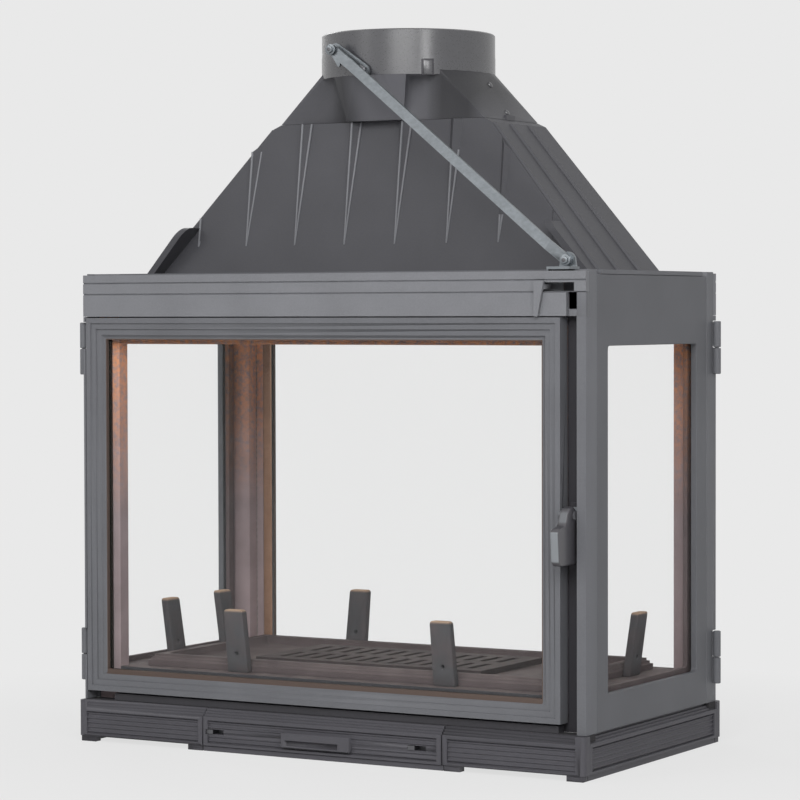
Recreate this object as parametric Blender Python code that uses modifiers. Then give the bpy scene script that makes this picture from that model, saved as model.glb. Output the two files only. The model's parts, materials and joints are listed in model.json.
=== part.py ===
"""Two-sided glass-fronted cast iron fireplace insert with a hood and a flue damper.

The front looks along -Y, the width runs along X and +Z is up.  The origin is on the
floor under the middle of the body.  The rear door, lintel and columns are the front
ones turned half a turn about Z.
"""
import math

import bpy
import bmesh
from mathutils import Matrix, Vector

COLLECTION_NAME = "cast_iron_wood_stove"

# Fits and shared clearances
SEAT_GAP = 0.0003
RUNNING_GAP = 0.0005
OVERRUN = 0.003
WELD_DISTANCE = 0.00001
CASTING_WALL = 0.008
EDGE_SOFTENING = 0.0008

# Body
BODY_WIDTH = 0.700
BODY_DEPTH = 0.360
BODY_HEIGHT = 0.5315
FOOT_HEIGHT = 0.007
FOOT_WIDTH = 0.022

# Plinth
PLINTH_HEIGHT = 0.0445
PLINTH_FRONT_REACH = 0.010
PLINTH_SIDE_REACH = 0.003
PLINTH_THICKNESS = 0.014
PLINTH_STEP_HEIGHT = 0.003
PLINTH_STEP_SETBACK = 0.0028
PLINTH_STEP_COUNT = 3
PLINTH_BAND_HEIGHT = 0.0045
PLINTH_LOWER_BORDER = 0.003
PLINTH_END_BORDER = 0.006
PLINTH_PANEL_DEPTH = 0.003
PLINTH_RIB_RELIEF = 0.0014
PLINTH_RIB_COUNT = 5
PLINTH_CORNER_POST = 0.012
PLINTH_CORNER_RADIUS = 0.006
PLINTH_RIB_SHARES = (0.22, 0.42, 0.58, 0.78)
PLINTH_TOE_SETBACK = 0.003

# Ash drawer
DRAWER_FRONT_WIDTH = 0.332
DRAWER_SIDE_GAP = 0.002
GRIP_LEFT = 0.052
GRIP_RIGHT = 0.044
GRIP_HEIGHT = 0.018
GRIP_RAISE = 0.005
GRIP_RISE = 0.006
GRIP_SLOT_BORDER = 0.006
GRIP_SLOT_WIDTH = 0.074
GRIP_SLOT_HEIGHT = 0.007
GRIP_SLOT_RISE = 0.002
GRIP_SLOT_DEPTH = 0.006
AIR_SLOT_WIDTH = 0.025
AIR_SLOT_HEIGHT = 0.006
AIR_SLOT_LEFT_X = -0.1505
AIR_SLOT_RIGHT_X = 0.1325
AIR_SLIDE_HEIGHT = 0.020
AIR_SLIDE_THICKNESS = 0.002
AIR_STUD_WIDTH = 0.009
AIR_STUD_PROUD = 0.001
AIR_STUD_MARGIN = 0.0005
AIR_PORT_WIDTH = 0.013
AIR_PORT_MARGIN = 0.001
ASH_PAN_WIDTH = 0.280
ASH_PAN_LENGTH = 0.262
ASH_PAN_HEIGHT = 0.035
ASH_PAN_WALL = 0.002
ASH_PAN_RIM = 0.012
ASH_PAN_TOP_CLEARANCE = 0.004
RUNNER_THICKNESS = 0.003
RUNNER_LIP = 0.014

# Base casting
BASE_FLANGE_HEIGHT = 0.008
BASE_FLANGE_REACH = 0.014
BASE_DECK_THICKNESS = 0.008
BASE_HEIGHT = 0.0407
FIREBOX_LINE_INSET = 0.022
ASH_OPENING_WIDTH = 0.290
ASH_OPENING_DEPTH = 0.144

# Columns
COLUMN_FACE_LATCH = 0.012
COLUMN_FACE_HINGE = 0.003
COLUMN_FACE_DEPTH = 0.022
COLUMN_OUTER_DEPTH = 0.028
COLUMN_INNER_REACH = 0.039
COLUMN_INNER_DEPTH = 0.018
COLUMN_SIDE_LAP = 0.0083

# Lintels
LINTEL_DROP = 0.0018
LINTEL_HEIGHT = 0.0515
LINTEL_PLATE = 0.008
LINTEL_UPPER_BAND = 0.0103
LINTEL_SECOND_BAND = 0.0138
LINTEL_GROOVE_WIDTH = 0.0022
LINTEL_GROOVE_DEPTH = 0.0016
LINTEL_WEB_HEIGHT = 0.008
LINTEL_APRON_HEIGHT = 0.082
LEVER_SLOT_HEIGHT = 0.010
LEVER_SLOT_DROP = 0.018
LEVER_SLOT_MARGIN = 0.015
LEVER_SLOT_LENGTH = 0.050

# Side panels
SIDE_WINDOW_BORDER = 0.0287
SIDE_WINDOW_SILL = 0.0422
SIDE_WINDOW_HEIGHT = 0.4015
SIDE_WINDOW_RADIUS = 0.005
SIDE_GLASS_THICKNESS = 0.004
SIDE_GLASS_LAP = 0.007
SIDE_GLASS_HEAD = 0.009
SIDE_RETAINER_THICKNESS = 0.0057
SIDE_RETAINER_BORDER = 0.012
BAFFLE_LEDGE_HEIGHT = 0.006
BAFFLE_LEDGE_REACH = 0.016
BAFFLE_LEDGE_DEPTH = 0.160
BAFFLE_LEDGE_DROP = 0.045
BAFFLE_THICKNESS = 0.010
BAFFLE_DEPTH = 0.200

# Top plate
TOP_PLATE_THICKNESS = 0.005
SMOKE_OPENING_SIDE_MARGIN = 0.016
SMOKE_OPENING_MARGIN = 0.010

# Doors
DOOR_DEPTH = 0.020
DOOR_HINGE_MARGIN = 0.0035
DOOR_LATCH_MARGIN = 0.033
DOOR_SILL_GAP = 0.0032
DOOR_HEAD_GAP = 0.0015
DOOR_FLAT = 0.0066
DOOR_STEP = 0.0006
DOOR_STEP_DEPTH = 0.002
DOOR_COVE_WIDTH = 0.002
DOOR_COVE_DEPTH = 0.003
DOOR_INNER_FLAT = 0.004
DOOR_RABBET_BORDER = 0.015
DOOR_RABBET_DEPTH = 0.0083
DOOR_GLASS_THICKNESS = 0.004
DOOR_RETAINER_THICKNESS = 0.0034
DOOR_RETAINER_BORDER = 0.011
DOOR_SEAL_WIDTH = 0.0045
DOOR_SEAL_BORDER = 0.001

# Hinges
HINGE_AXIS_OUT = 0.005
HINGE_AXIS_DEPTH = 0.008
KNUCKLE_RADIUS = 0.0048
KNUCKLE_LENGTH = 0.0320
KNUCKLE_GAP = 0.001
HINGE_NECK_THICKNESS = 0.004
HINGE_NECK_LAP = 0.0015
HINGE_PIN_RADIUS = 0.0024
HINGE_UPPER_DROP = 0.0057
HINGE_LOWER_RISE = 0.012
HINGE_NOTCH_DEPTH = 0.012
HINGE_NOTCH_MARGIN = 0.0012
HINGE_RELIEF_GAP = 0.0009

# Door handles
HANDLE_AXIS_Z = 0.303
HANDLE_AXIS_DEPTH = 0.002
HANDLE_HUB_RADIUS = 0.011
HANDLE_WIDTH = 0.011
HANDLE_EDGE_GAP = 0.007
HANDLE_REACH = 0.038
HANDLE_DROP = 0.058
HANDLE_OUTLINE_SHARES = (
    (-0.16, 0.15), (-0.50, 0.02), (-0.86, -0.22), (-0.96, -0.34), (-1.03, -0.85),
    (-1.12, -0.92), (-1.12, -1.00), (-0.66, -1.00), (-0.60, -0.48), (-0.36, -0.26),
    (0.05, -0.16),
)
HANDLE_STUB_RADIUS = 0.005
CATCH_NEAR = 0.012
CATCH_THICKNESS = 0.003
CATCH_RISE = 0.0025
CATCH_HEIGHT = 0.0115
LATCH_TAIL_DROP = 0.004
LATCH_TAIL_RISE = 0.0005
LATCH_TIP_THICKNESS = 0.0024
LATCH_TIP_RISE = 0.006
LATCH_TIP_GAP = 0.0006

# Hearth tray, grate and log guards
TRAY_SIDE_MARGIN = 0.056
TRAY_FRONT_MARGIN = 0.024
TRAY_HEIGHT = 0.0142
TRAY_STEP = 0.003
TRAY_STEP_COUNT = 3
TRAY_RIM = 0.012
TRAY_FLOOR = 0.005
GRATE_WIDTH = 0.320
GRATE_DEPTH = 0.160
GRATE_THICKNESS = 0.007
GRATE_SLOT_WIDTH = 0.009
GRATE_SLOT_LENGTH = 0.052
GRATE_SLOT_COUNT = 13
POST_HEIGHT = 0.078
POST_WIDTH = 0.024
POST_TOP_WIDTH = 0.018
POST_THICKNESS = 0.010
POST_LEAN = 0.0115
POST_HOLE_RADIUS = 0.0045
POST_HOLE_RISE = 0.024
POST_FRONT_X = 0.145
POST_SIDE_Y = 0.060

# Hood
HOOD_SIDE_MARGIN = 0.039
HOOD_BASE_FRONT = 0.076
HOOD_REAR = 0.100
HOOD_HEIGHT = 0.1854
HOOD_TOP_WIDTH = 0.288
HOOD_TOP_FRONT = 0.041
HOOD_SHOULDER_WIDTH = 0.310
HOOD_SHOULDER_DROP = 0.005
HOOD_WALL = 0.006
HOOD_RIB_SPACING = 0.0715
HOOD_RIB_COUNT = 8
HOOD_RIB_WIDTH = 0.017
HOOD_RIB_PROUD = 0.009
HOOD_RIB_RISE = 0.0275
HOOD_RIB_TIP = 0.0004
HOOD_JOIN_INSET = 0.0004
HOOD_SIDE_RIB_WIDTH = 0.006
HOOD_SIDE_RIB_PROUD = 0.004
SIDE_RIDGE_SHARES = (0.03, 0.333, 0.667)
CHEEK_REACH = 0.021
CHEEK_HEIGHT = 0.0575
CHEEK_RADIUS = 0.012
CHEEK_THICKNESS = 0.008

# Flue box and collar
FLUE_BOX_HEIGHT = 0.0542
FLUE_BAND_HEIGHT = 0.0127
FLUE_CENTRE_Y = 0.028
COLLAR_OUTER_RADIUS = 0.108
COLLAR_BORE_RADIUS = 0.101
COLLAR_HEIGHT = 0.0425
COLLAR_EDGE = 0.0015
CHIN_TOP_WIDTH = 0.102
CHIN_FOOT_WIDTH = 0.080
CHIN_FOOT_OUT = 0.014
FLUE_LUG_WIDTH = 0.022
FLUE_LUG_REACH = 0.012
FLUE_LUG_THICKNESS = 0.006
ARC_POINTS = 32
ON_CIRCLE_SHARE = 0.999

# Damper
DAMPER_AXIS_RISE = 0.004
DAMPER_SHAFT_RADIUS = 0.005
DAMPER_FLAP_CLEARANCE = 0.003
DAMPER_FLAP_THICKNESS = 0.005
DAMPER_FRONT_REACH = 0.0115
DAMPER_REAR_REACH = 0.004
DAMPER_NUT_RADIUS = 0.008
DAMPER_NUT_HEIGHT = 0.003
DAMPER_HUB_RADIUS = 0.008
CRANK_THICKNESS = 0.0035
CRANK_HUB_RADIUS = 0.010
CRANK_EYE_RADIUS = 0.0085
CRANK_PIN_X = 0.037
CRANK_PIN_Z = 0.0271
CRANK_PIN_RADIUS = 0.003
CRANK_SPUR_X = 0.004
CRANK_SPUR_Z = 0.018
CRANK_SPUR_RADIUS = 0.002
CRANK_STANDOFF = 0.003
CRANK_PIN_HEAD_RADIUS = 0.0055
CRANK_PIN_HEAD = 0.0025

# Control lever and tie bar
LEVER_BOLT_MARGIN = 0.0371
LEVER_BOLT_Z = 0.0107
LEVER_BOLT_RADIUS = 0.003
LEVER_EAR_WIDTH = 0.022
LEVER_EAR_HEIGHT = 0.0205
LEVER_EAR_THICKNESS = 0.003
LEVER_EAR_SETBACK = 0.0295
LEVER_PLATE_THICKNESS = 0.003
LEVER_PLATE_LENGTH = 0.0265
LEVER_PLATE_WIDTH = 0.033
LEVER_PLATE_MARGIN = 0.054
LEVER_PLATE_SETBACK = 0.0075
LEVER_NECK_MARGIN = 0.0635
LEVER_NECK_WIDTH = 0.012
LEVER_NECK_THICKNESS = 0.004
LEVER_NECK_SETBACK = 0.0135
LEVER_TONGUE_HEIGHT = 0.006
LEVER_TAB_TOP_WIDTH = 0.013
LEVER_TAB_FOOT_WIDTH = 0.005
LEVER_TAB_RISE = 0.007
LEVER_TAB_FOOT_GAP = 0.0005
LEVER_TAB_THICKNESS = 0.004
LEVER_TAB_GAP = 0.001
TIE_BAR_WIDTH = 0.0125
TIE_BAR_THICKNESS = 0.0035
TIE_BAR_BEND = 0.030
TIE_BAR_FRONT_GAP = 0.001
PIVOT_GAP = 0.0004
BOLT_HEAD_RADIUS = 0.0055
BOLT_HEAD_HEIGHT = 0.003

# Levels and lines worked out from the sizes above
HALF_WIDTH = BODY_WIDTH / 2
HALF_DEPTH = BODY_DEPTH / 2
PLINTH_TOP = FOOT_HEIGHT + PLINTH_HEIGHT
BODY_BOTTOM = PLINTH_TOP + SEAT_GAP
BODY_TOP = BODY_BOTTOM + BODY_HEIGHT
BASE_TOP = BODY_BOTTOM + BASE_HEIGHT
FLANGE_TOP = BODY_BOTTOM + BASE_FLANGE_HEIGHT
PANEL_TOP = BODY_TOP - TOP_PLATE_THICKNESS - SEAT_GAP
LINTEL_TOP = BODY_TOP - LINTEL_DROP
LINTEL_BOTTOM = LINTEL_TOP - LINTEL_HEIGHT
DOOR_BOTTOM = FLANGE_TOP + DOOR_SILL_GAP
DOOR_TOP = LINTEL_BOTTOM - DOOR_HEAD_GAP
DOOR_HEIGHT = DOOR_TOP - DOOR_BOTTOM
DOOR_LEFT = DOOR_HINGE_MARGIN - HALF_WIDTH
DOOR_RIGHT = HALF_WIDTH - DOOR_LATCH_MARGIN
DOOR_WIDTH = DOOR_RIGHT - DOOR_LEFT
DOOR_FACE_Y = -HALF_DEPTH
DOOR_BACK_Y = DOOR_FACE_Y + DOOR_DEPTH
DOOR_BORDER = (3 * DOOR_FLAT + 2 * DOOR_STEP + DOOR_COVE_WIDTH + DOOR_INNER_FLAT)
HINGE_X = -HALF_WIDTH - HINGE_AXIS_OUT
HINGE_Y = DOOR_FACE_Y + HINGE_AXIS_DEPTH
COLUMN_INNER_FACE = HALF_DEPTH - COLUMN_FACE_DEPTH
COLUMN_REAR_FACE = COLUMN_INNER_FACE - COLUMN_INNER_DEPTH
SIDE_INNER_X = HALF_WIDTH - CASTING_WALL
SIDE_PANEL_HALF = HALF_DEPTH - COLUMN_OUTER_DEPTH - SEAT_GAP
SIDE_WINDOW_DEPTH = 2 * (SIDE_PANEL_HALF - SIDE_WINDOW_BORDER)
TRAY_WIDTH = 2 * (SIDE_INNER_X - TRAY_SIDE_MARGIN)
TRAY_DEPTH = 2 * (COLUMN_INNER_FACE - TRAY_FRONT_MARGIN)
HOOD_BASE_WIDTH = 2 * (HALF_WIDTH - HOOD_SIDE_MARGIN)
SMOKE_OPENING_WIDTH = HOOD_BASE_WIDTH - 2 * SMOKE_OPENING_SIDE_MARGIN
SMOKE_OPENING_FRONT = HOOD_BASE_FRONT - SMOKE_OPENING_MARGIN
SMOKE_OPENING_REAR = HOOD_REAR - SMOKE_OPENING_MARGIN
LEVER_SLOT_RIGHT = HALF_WIDTH - LEVER_SLOT_MARGIN
LEVER_SLOT_LEFT = LEVER_SLOT_RIGHT - LEVER_SLOT_LENGTH
LEVER_BOLT_X = HALF_WIDTH - LEVER_BOLT_MARGIN
LEVER_EAR_DEPTH = HALF_DEPTH - LEVER_EAR_SETBACK
LEVER_PLATE_LEFT = HALF_WIDTH - LEVER_PLATE_MARGIN
LEVER_PLATE_FRONT = HALF_DEPTH - LEVER_PLATE_SETBACK
LEVER_PLATE_REAR = LEVER_PLATE_FRONT - LEVER_PLATE_LENGTH
LEVER_NECK_X = HALF_WIDTH - LEVER_NECK_MARGIN
LEVER_NECK_DEPTH = HALF_DEPTH - LEVER_NECK_SETBACK
HOOD_BOTTOM = BODY_TOP + SEAT_GAP
HOOD_TOP = HOOD_BOTTOM + HOOD_HEIGHT
FLUE_BOX_BOTTOM = HOOD_TOP + SEAT_GAP
FLUE_BOX_SHELF = FLUE_BOX_BOTTOM + FLUE_BOX_HEIGHT
FLUE_BOX_TOP = FLUE_BOX_SHELF + FLUE_BAND_HEIGHT
COLLAR_BOTTOM = FLUE_BOX_TOP + SEAT_GAP
DAMPER_Z = FLUE_BOX_SHELF + DAMPER_AXIS_RISE

# Colours of the finishes, as linear red, green and blue
ANTHRACITE_SHARES = (0.150, 0.155, 0.170)
FIREBOX_IRON_SHARES = (0.085, 0.060, 0.045)
ZINC_SHARES = (0.62, 0.64, 0.66)
STEEL_SHARES = (0.33, 0.33, 0.34)
GLASS_SHARES = (0.80, 0.84, 0.83)
ROPE_SHARES = (0.32, 0.31, 0.29)

# Finish name: colour, roughness, metallic
FINISHES = {
    "anthracite_paint": (ANTHRACITE_SHARES, 0.55, 0.20),
    "bare_cast_iron": (FIREBOX_IRON_SHARES, 0.75, 0.30),
    "zinc_plate": (ZINC_SHARES, 0.35, 0.90),
    "dark_steel": (STEEL_SHARES, 0.45, 0.85),
    "ceramic_glass": (GLASS_SHARES, 0.06, 0.00),
    "glass_fibre_rope": (ROPE_SHARES, 0.95, 0.00),
}


def clear_scene():
    for old in list(bpy.data.objects):
        bpy.data.objects.remove(old, do_unlink=True)


def make_collection(name):
    collection = bpy.data.collections.new(name)
    bpy.context.scene.collection.children.link(collection)
    return collection


def new_material(name, finish):
    colour, roughness, metallic = FINISHES[finish]
    material = bpy.data.materials.new(name + "_" + finish)
    material.use_nodes = True
    shader = material.node_tree.nodes["Principled BSDF"]
    shader.inputs["Base Color"].default_value = (*colour, 1)
    shader.inputs["Roughness"].default_value = roughness
    shader.inputs["Metallic"].default_value = metallic
    material.diffuse_color = (*colour, 1)
    return material


def add_object(name, mesh, location=(0, 0, 0)):
    thing = bpy.data.objects.new(name, mesh)
    thing.location = location
    PARTS.objects.link(thing)
    return thing


def mesh_from(bm, name):
    mesh = bpy.data.meshes.new(name)
    bmesh.ops.recalc_face_normals(bm, faces=bm.faces)
    bm.to_mesh(mesh)
    bm.free()
    return mesh


def finish_object(thing, finish):
    """Give a finished piece its own material and smooth shading on its round faces."""
    thing.data.materials.clear()
    thing.data.materials.append(new_material(thing.name, finish))
    thing.data.shade_smooth()
    thing.data.set_sharp_from_angle(angle=math.radians(35))
    return thing


def block(name, x, y, z):
    """Box between the two limits given on each axis, with its origin in its middle."""
    middle = Vector((sum(x) / 2, sum(y) / 2, sum(z) / 2))
    bm = bmesh.new()
    bmesh.ops.create_cube(bm, size=1)
    bmesh.ops.scale(bm, vec=(x[1] - x[0], y[1] - y[0], z[1] - z[0]), verts=bm.verts)
    return add_object(name, mesh_from(bm, name), middle)


def rod(name, radius, start, end, segments=24):
    """Round bar between two points."""
    start = Vector(start)
    end = Vector(end)
    span = end - start
    bm = bmesh.new()
    bmesh.ops.create_cone(bm, cap_ends=True, segments=segments, radius1=radius,
                          radius2=radius, depth=span.length)
    turn = Vector((0, 0, 1)).rotation_difference(span)
    bmesh.ops.rotate(bm, matrix=turn.to_matrix(), verts=bm.verts)
    return add_object(name, mesh_from(bm, name), (start + end) / 2)


def settle(thing):
    """Bake modifiers, rotation and scale into the mesh and keep the location."""
    graph = bpy.context.evaluated_depsgraph_get()
    graph.update()
    mesh = bpy.data.meshes.new_from_object(thing.evaluated_get(graph))
    bpy.context.view_layer.update()
    place = thing.matrix_world.copy()
    offset = place.to_translation()
    place.translation = (0, 0, 0)
    mesh.transform(place)
    mesh.name = thing.name
    bm = bmesh.new()
    bm.from_mesh(mesh)
    bmesh.ops.remove_doubles(bm, verts=bm.verts, dist=WELD_DISTANCE)
    bm.to_mesh(mesh)
    bm.free()
    old_name = thing.name
    bpy.data.objects.remove(thing, do_unlink=True)
    return add_object(old_name, mesh, offset)


def outline_plate(name, loops, thickness, centre, heading):
    """Flat plate from outlines in its own plane, set upright and turned to a heading.

    Heading 0 puts the outline's first axis along +X, a quarter turn puts it along +Y,
    and None leaves the plate lying flat in X and Y.
    """
    curve = bpy.data.curves.new(name, "CURVE")
    curve.dimensions = "2D"
    curve.fill_mode = "BOTH"
    curve.extrude = thickness / 2
    for loop in loops:
        spline = curve.splines.new("POLY")
        spline.points.add(len(loop) - 1)
        for point, (u, v) in zip(spline.points, loop):
            point.co = (u, v, 0, 1)
        spline.use_cyclic_u = True
    plate = add_object(name, curve, centre)
    if heading is not None:
        plate.rotation_euler = (math.radians(90), 0, heading)
    bpy.context.view_layer.update()
    return settle(plate)


def combine(thing, other, operation):
    """Boolean with another solid, which is used up by it."""
    for old in other.users_collection:
        old.objects.unlink(other)
    CUTTERS.objects.link(other)
    other.hide_render = True
    other.display_type = "WIRE"
    change = thing.modifiers.new("combine", "BOOLEAN")
    change.operation = operation
    change.solver = "EXACT"
    change.object = other
    bpy.context.view_layer.update()
    result = settle(thing)
    bpy.data.objects.remove(other, do_unlink=True)
    return result


def cut(thing, other):
    return combine(thing, other, "DIFFERENCE")


def join(thing, other):
    return combine(thing, other, "UNION")


def keep_inside(thing, other):
    return combine(thing, other, "INTERSECT")


def soften(thing, width=EDGE_SOFTENING, segments=1, angle=50):
    """Small bevel on the sharp edges."""
    bevel = thing.modifiers.new("soften", "BEVEL")
    bevel.width = width
    bevel.segments = segments
    bevel.limit_method = "ANGLE"
    bevel.angle_limit = math.radians(angle)
    bpy.context.view_layer.update()
    return settle(thing)


def set_origin(thing, point):
    """Move the origin to a point and leave the shape where it is."""
    shift = thing.location - Vector(point)
    thing.data.transform(Matrix.Translation(shift))
    thing.location = point
    return thing


def turned_copy(thing, name, finish):
    """Copy of a piece turned half a turn about the vertical axis of the stove."""
    mesh = thing.data.copy()
    mesh.name = name
    half_turn = Matrix.Rotation(math.radians(180), 4, "Z")
    mesh.transform(half_turn)
    copy = add_object(name, mesh, half_turn @ thing.location)
    return finish_object(copy, finish)


def hull(name, points):
    """Convex solid round a set of points."""
    bm = bmesh.new()
    for point in points:
        bm.verts.new(point)
    result = bmesh.ops.convex_hull(bm, input=bm.verts)
    loose = list({item for item in result["geom_interior"] + result["geom_unused"]
                  if isinstance(item, bmesh.types.BMVert)})
    bmesh.ops.delete(bm, geom=loose, context="VERTS")
    bmesh.ops.dissolve_limit(bm, angle_limit=math.radians(0.05), verts=bm.verts,
                             edges=bm.edges)
    return add_object(name, mesh_from(bm, name))


def rounded_rectangle(half_u, half_v, radius, mid_u=0, mid_v=0, steps=4):
    """Points of a rectangle with round corners."""
    points = []
    corners = ((1, 1, 0), (-1, 1, 90), (-1, -1, 180), (1, -1, 270))
    for sign_u, sign_v, start in corners:
        for step in range(steps + 1):
            angle = math.radians(start + 90 * step / steps)
            points.append((mid_u + sign_u * (half_u - radius) + radius * math.cos(angle),
                           mid_v + sign_v * (half_v - radius) + radius * math.sin(angle)))
    return points


def rectangle(u, v):
    return [(u[0], v[0]), (u[1], v[0]), (u[1], v[1]), (u[0], v[1])]


def circle_points(radius, mid_u, mid_v, count, turn=0):
    return [(mid_u + radius * math.cos(turn + math.tau * step / count),
             mid_v + radius * math.sin(turn + math.tau * step / count))
            for step in range(count)]


def sink_face(bm, face, inset, depth):
    """Inset one face and push it in, and return the face that is left."""
    if inset:
        bmesh.ops.inset_region(bm, faces=[face], thickness=inset, depth=0,
                               use_even_offset=True)
    else:
        made = bmesh.ops.extrude_discrete_faces(bm, faces=[face])
        face = made["faces"][0]
    if depth:
        bmesh.ops.translate(bm, vec=-face.normal * depth, verts=face.verts)
    return face


def front_face(bm, direction):
    bm.normal_update()
    return max(bm.faces, key=lambda face: (round(face.normal.dot(direction), 3),
                                           face.calc_center_median().dot(direction)))


def picture_frame(name, x, y, z, front_steps, back_steps):
    """Frame from a block: both faces are stepped in and then joined through."""
    bm = bmesh.new()
    bmesh.ops.create_cube(bm, size=1)
    bmesh.ops.scale(bm, vec=(x[1] - x[0], y[1] - y[0], z[1] - z[0]), verts=bm.verts)
    inner = []
    for direction, steps in ((Vector((0, -1, 0)), front_steps),
                             (Vector((0, 1, 0)), back_steps)):
        face = front_face(bm, direction)
        for inset, depth in steps:
            bm.normal_update()
            face = sink_face(bm, face, inset, depth)
        inner.append(face)
    edges = [edge for face in inner for edge in face.edges]
    bmesh.ops.delete(bm, geom=inner, context="FACES_ONLY")
    bmesh.ops.bridge_loops(bm, edges=edges)
    middle = Vector((sum(x) / 2, sum(y) / 2, sum(z) / 2))
    return add_object(name, mesh_from(bm, name), middle)


def plinth_outline(toe):
    """Section of the plinth as outward distance and height above its lower edge."""
    shoulder = PLINTH_HEIGHT - PLINTH_STEP_COUNT * PLINTH_STEP_HEIGHT
    points = [(-PLINTH_THICKNESS, -toe), (-PLINTH_TOE_SETBACK, -toe),
              (-PLINTH_TOE_SETBACK, 0)] if toe else [(-PLINTH_THICKNESS, 0)]
    points.append((0, 0))
    for step in range(PLINTH_STEP_COUNT):
        height = shoulder + step * PLINTH_STEP_HEIGHT
        points.append((-step * PLINTH_STEP_SETBACK, height))
        points.append((-(step + 1) * PLINTH_STEP_SETBACK, height))
    points.append((-PLINTH_STEP_COUNT * PLINTH_STEP_SETBACK, PLINTH_HEIGHT))
    points.append((-PLINTH_THICKNESS, PLINTH_HEIGHT))
    return points


def ribbed_panel_outline():
    """Section of the sunk panel that is cut into the plinth, with its fine ribs."""
    bottom = PLINTH_LOWER_BORDER
    top = (PLINTH_HEIGHT - PLINTH_STEP_COUNT * PLINTH_STEP_HEIGHT - PLINTH_BAND_HEIGHT)
    floor = -PLINTH_PANEL_DEPTH
    crest = floor + PLINTH_RIB_RELIEF
    pitch = (top - bottom) / PLINTH_RIB_COUNT
    foot, edge, other_edge, other_foot = PLINTH_RIB_SHARES
    points = [(OVERRUN, bottom), (OVERRUN, top), (floor, top)]
    for rib in range(PLINTH_RIB_COUNT):
        start = top - rib * pitch
        points += [(floor, start - foot * pitch), (crest, start - edge * pitch),
                   (crest, start - other_edge * pitch),
                   (floor, start - other_foot * pitch)]
    points.append((floor, bottom))
    return points


def plinth_bar(name, length, middle, heading, toe=0):
    """Straight stretch of plinth with its outer face through the given place."""
    place = (*middle, FOOT_HEIGHT)
    bar = outline_plate(name, [plinth_outline(toe)], length, place, heading)
    cutter = outline_plate(name + "_panel", [ribbed_panel_outline()],
                           length - 2 * PLINTH_END_BORDER, place, heading)
    return cut(bar, cutter)


def add_foot(thing, x_side, start, stop):
    """Foot pad under a stretch of the front or rear plinth."""
    outer_y = HALF_DEPTH + PLINTH_FRONT_REACH
    foot = block("foot", sorted((x_side * (start + EDGE_SOFTENING), x_side * stop)),
                 (-outer_y + PLINTH_BAND_HEIGHT / 2,
                  -outer_y + PLINTH_THICKNESS - EDGE_SOFTENING),
                 (0, FOOT_HEIGHT + PLINTH_LOWER_BORDER / 2))
    return join(thing, foot)


def rounded_corner(x_side):
    """Points of the plinth's round corner in plan, from the front to the side."""
    outer_x = HALF_WIDTH + PLINTH_SIDE_REACH
    outer_y = HALF_DEPTH + PLINTH_FRONT_REACH
    radius = PLINTH_CORNER_RADIUS
    points = []
    for step in range(7):
        angle = math.radians(270 + 90 * step / 6)
        points.append((x_side * (outer_x - radius + radius * math.cos(angle)),
                       -outer_y + radius + radius * math.sin(angle)))
    points.append((x_side * outer_x, -outer_y + PLINTH_THICKNESS))
    return points


def step_cutter(start, stop):
    """Solid over the steps of the front plinth, between two places along it."""
    section = plinth_outline(0)
    stair = section[2:-1]
    over = [(section[-2][0], PLINTH_HEIGHT + OVERRUN),
            (OVERRUN, PLINTH_HEIGHT + OVERRUN), (OVERRUN, stair[0][1])]
    return outline_plate("steps", [stair[:-1] + over], stop - start,
                         ((start + stop) / 2, -HALF_DEPTH - PLINTH_FRONT_REACH,
                          FOOT_HEIGHT), math.radians(-90))


def panel_cutter(start, stop):
    return outline_plate("panel", [ribbed_panel_outline()], stop - start,
                         ((start + stop) / 2, -HALF_DEPTH - PLINTH_FRONT_REACH,
                          FOOT_HEIGHT), math.radians(-90))


def plinth_front_section(name, x_side):
    """Front plinth beside the ash drawer, with its plain corner and two feet."""
    outer_x = HALF_WIDTH + PLINTH_SIDE_REACH
    outer_y = HALF_DEPTH + PLINTH_FRONT_REACH
    inner = DRAWER_FRONT_WIDTH / 2 + DRAWER_SIDE_GAP
    post = outer_x - PLINTH_CORNER_POST
    plan = ([(x_side * inner, -outer_y)] + rounded_corner(x_side)
            + [(x_side * inner, -outer_y + PLINTH_THICKNESS)])
    section = outline_plate(name, [plan], PLINTH_HEIGHT,
                            (0, 0, FOOT_HEIGHT + PLINTH_HEIGHT / 2), None)
    section = cut(section, step_cutter(*sorted((x_side * (inner - OVERRUN),
                                                x_side * post))))
    section = cut(section, panel_cutter(*sorted((x_side * (inner + PLINTH_END_BORDER),
                                                 x_side * post))))
    pad = outer_x - PLINTH_END_BORDER / 2
    section = add_foot(section, x_side, inner, inner + FOOT_WIDTH)
    section = add_foot(section, x_side, pad - FOOT_WIDTH, pad)
    return finish_object(section, "anthracite_paint")


def plinth_rear_section():
    """Rear plinth in one length between two plain corners."""
    outer_x = HALF_WIDTH + PLINTH_SIDE_REACH
    post = outer_x - PLINTH_CORNER_POST
    plan = rounded_corner(1) + list(reversed(rounded_corner(-1)))
    section = outline_plate("plinth_rear_front", [plan], PLINTH_HEIGHT,
                            (0, 0, FOOT_HEIGHT + PLINTH_HEIGHT / 2), None)
    section = cut(section, step_cutter(-post, post))
    section = cut(section, panel_cutter(-post, post))
    pad = outer_x - PLINTH_END_BORDER / 2
    inner = DRAWER_FRONT_WIDTH / 2
    for x_side in (-1, 1):
        section = add_foot(section, x_side, inner, inner + FOOT_WIDTH)
        section = add_foot(section, x_side, pad - FOOT_WIDTH, pad)
    rear = turned_copy(section, "plinth_rear", "anthracite_paint")
    bpy.data.objects.remove(section, do_unlink=True)
    return rear


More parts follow.
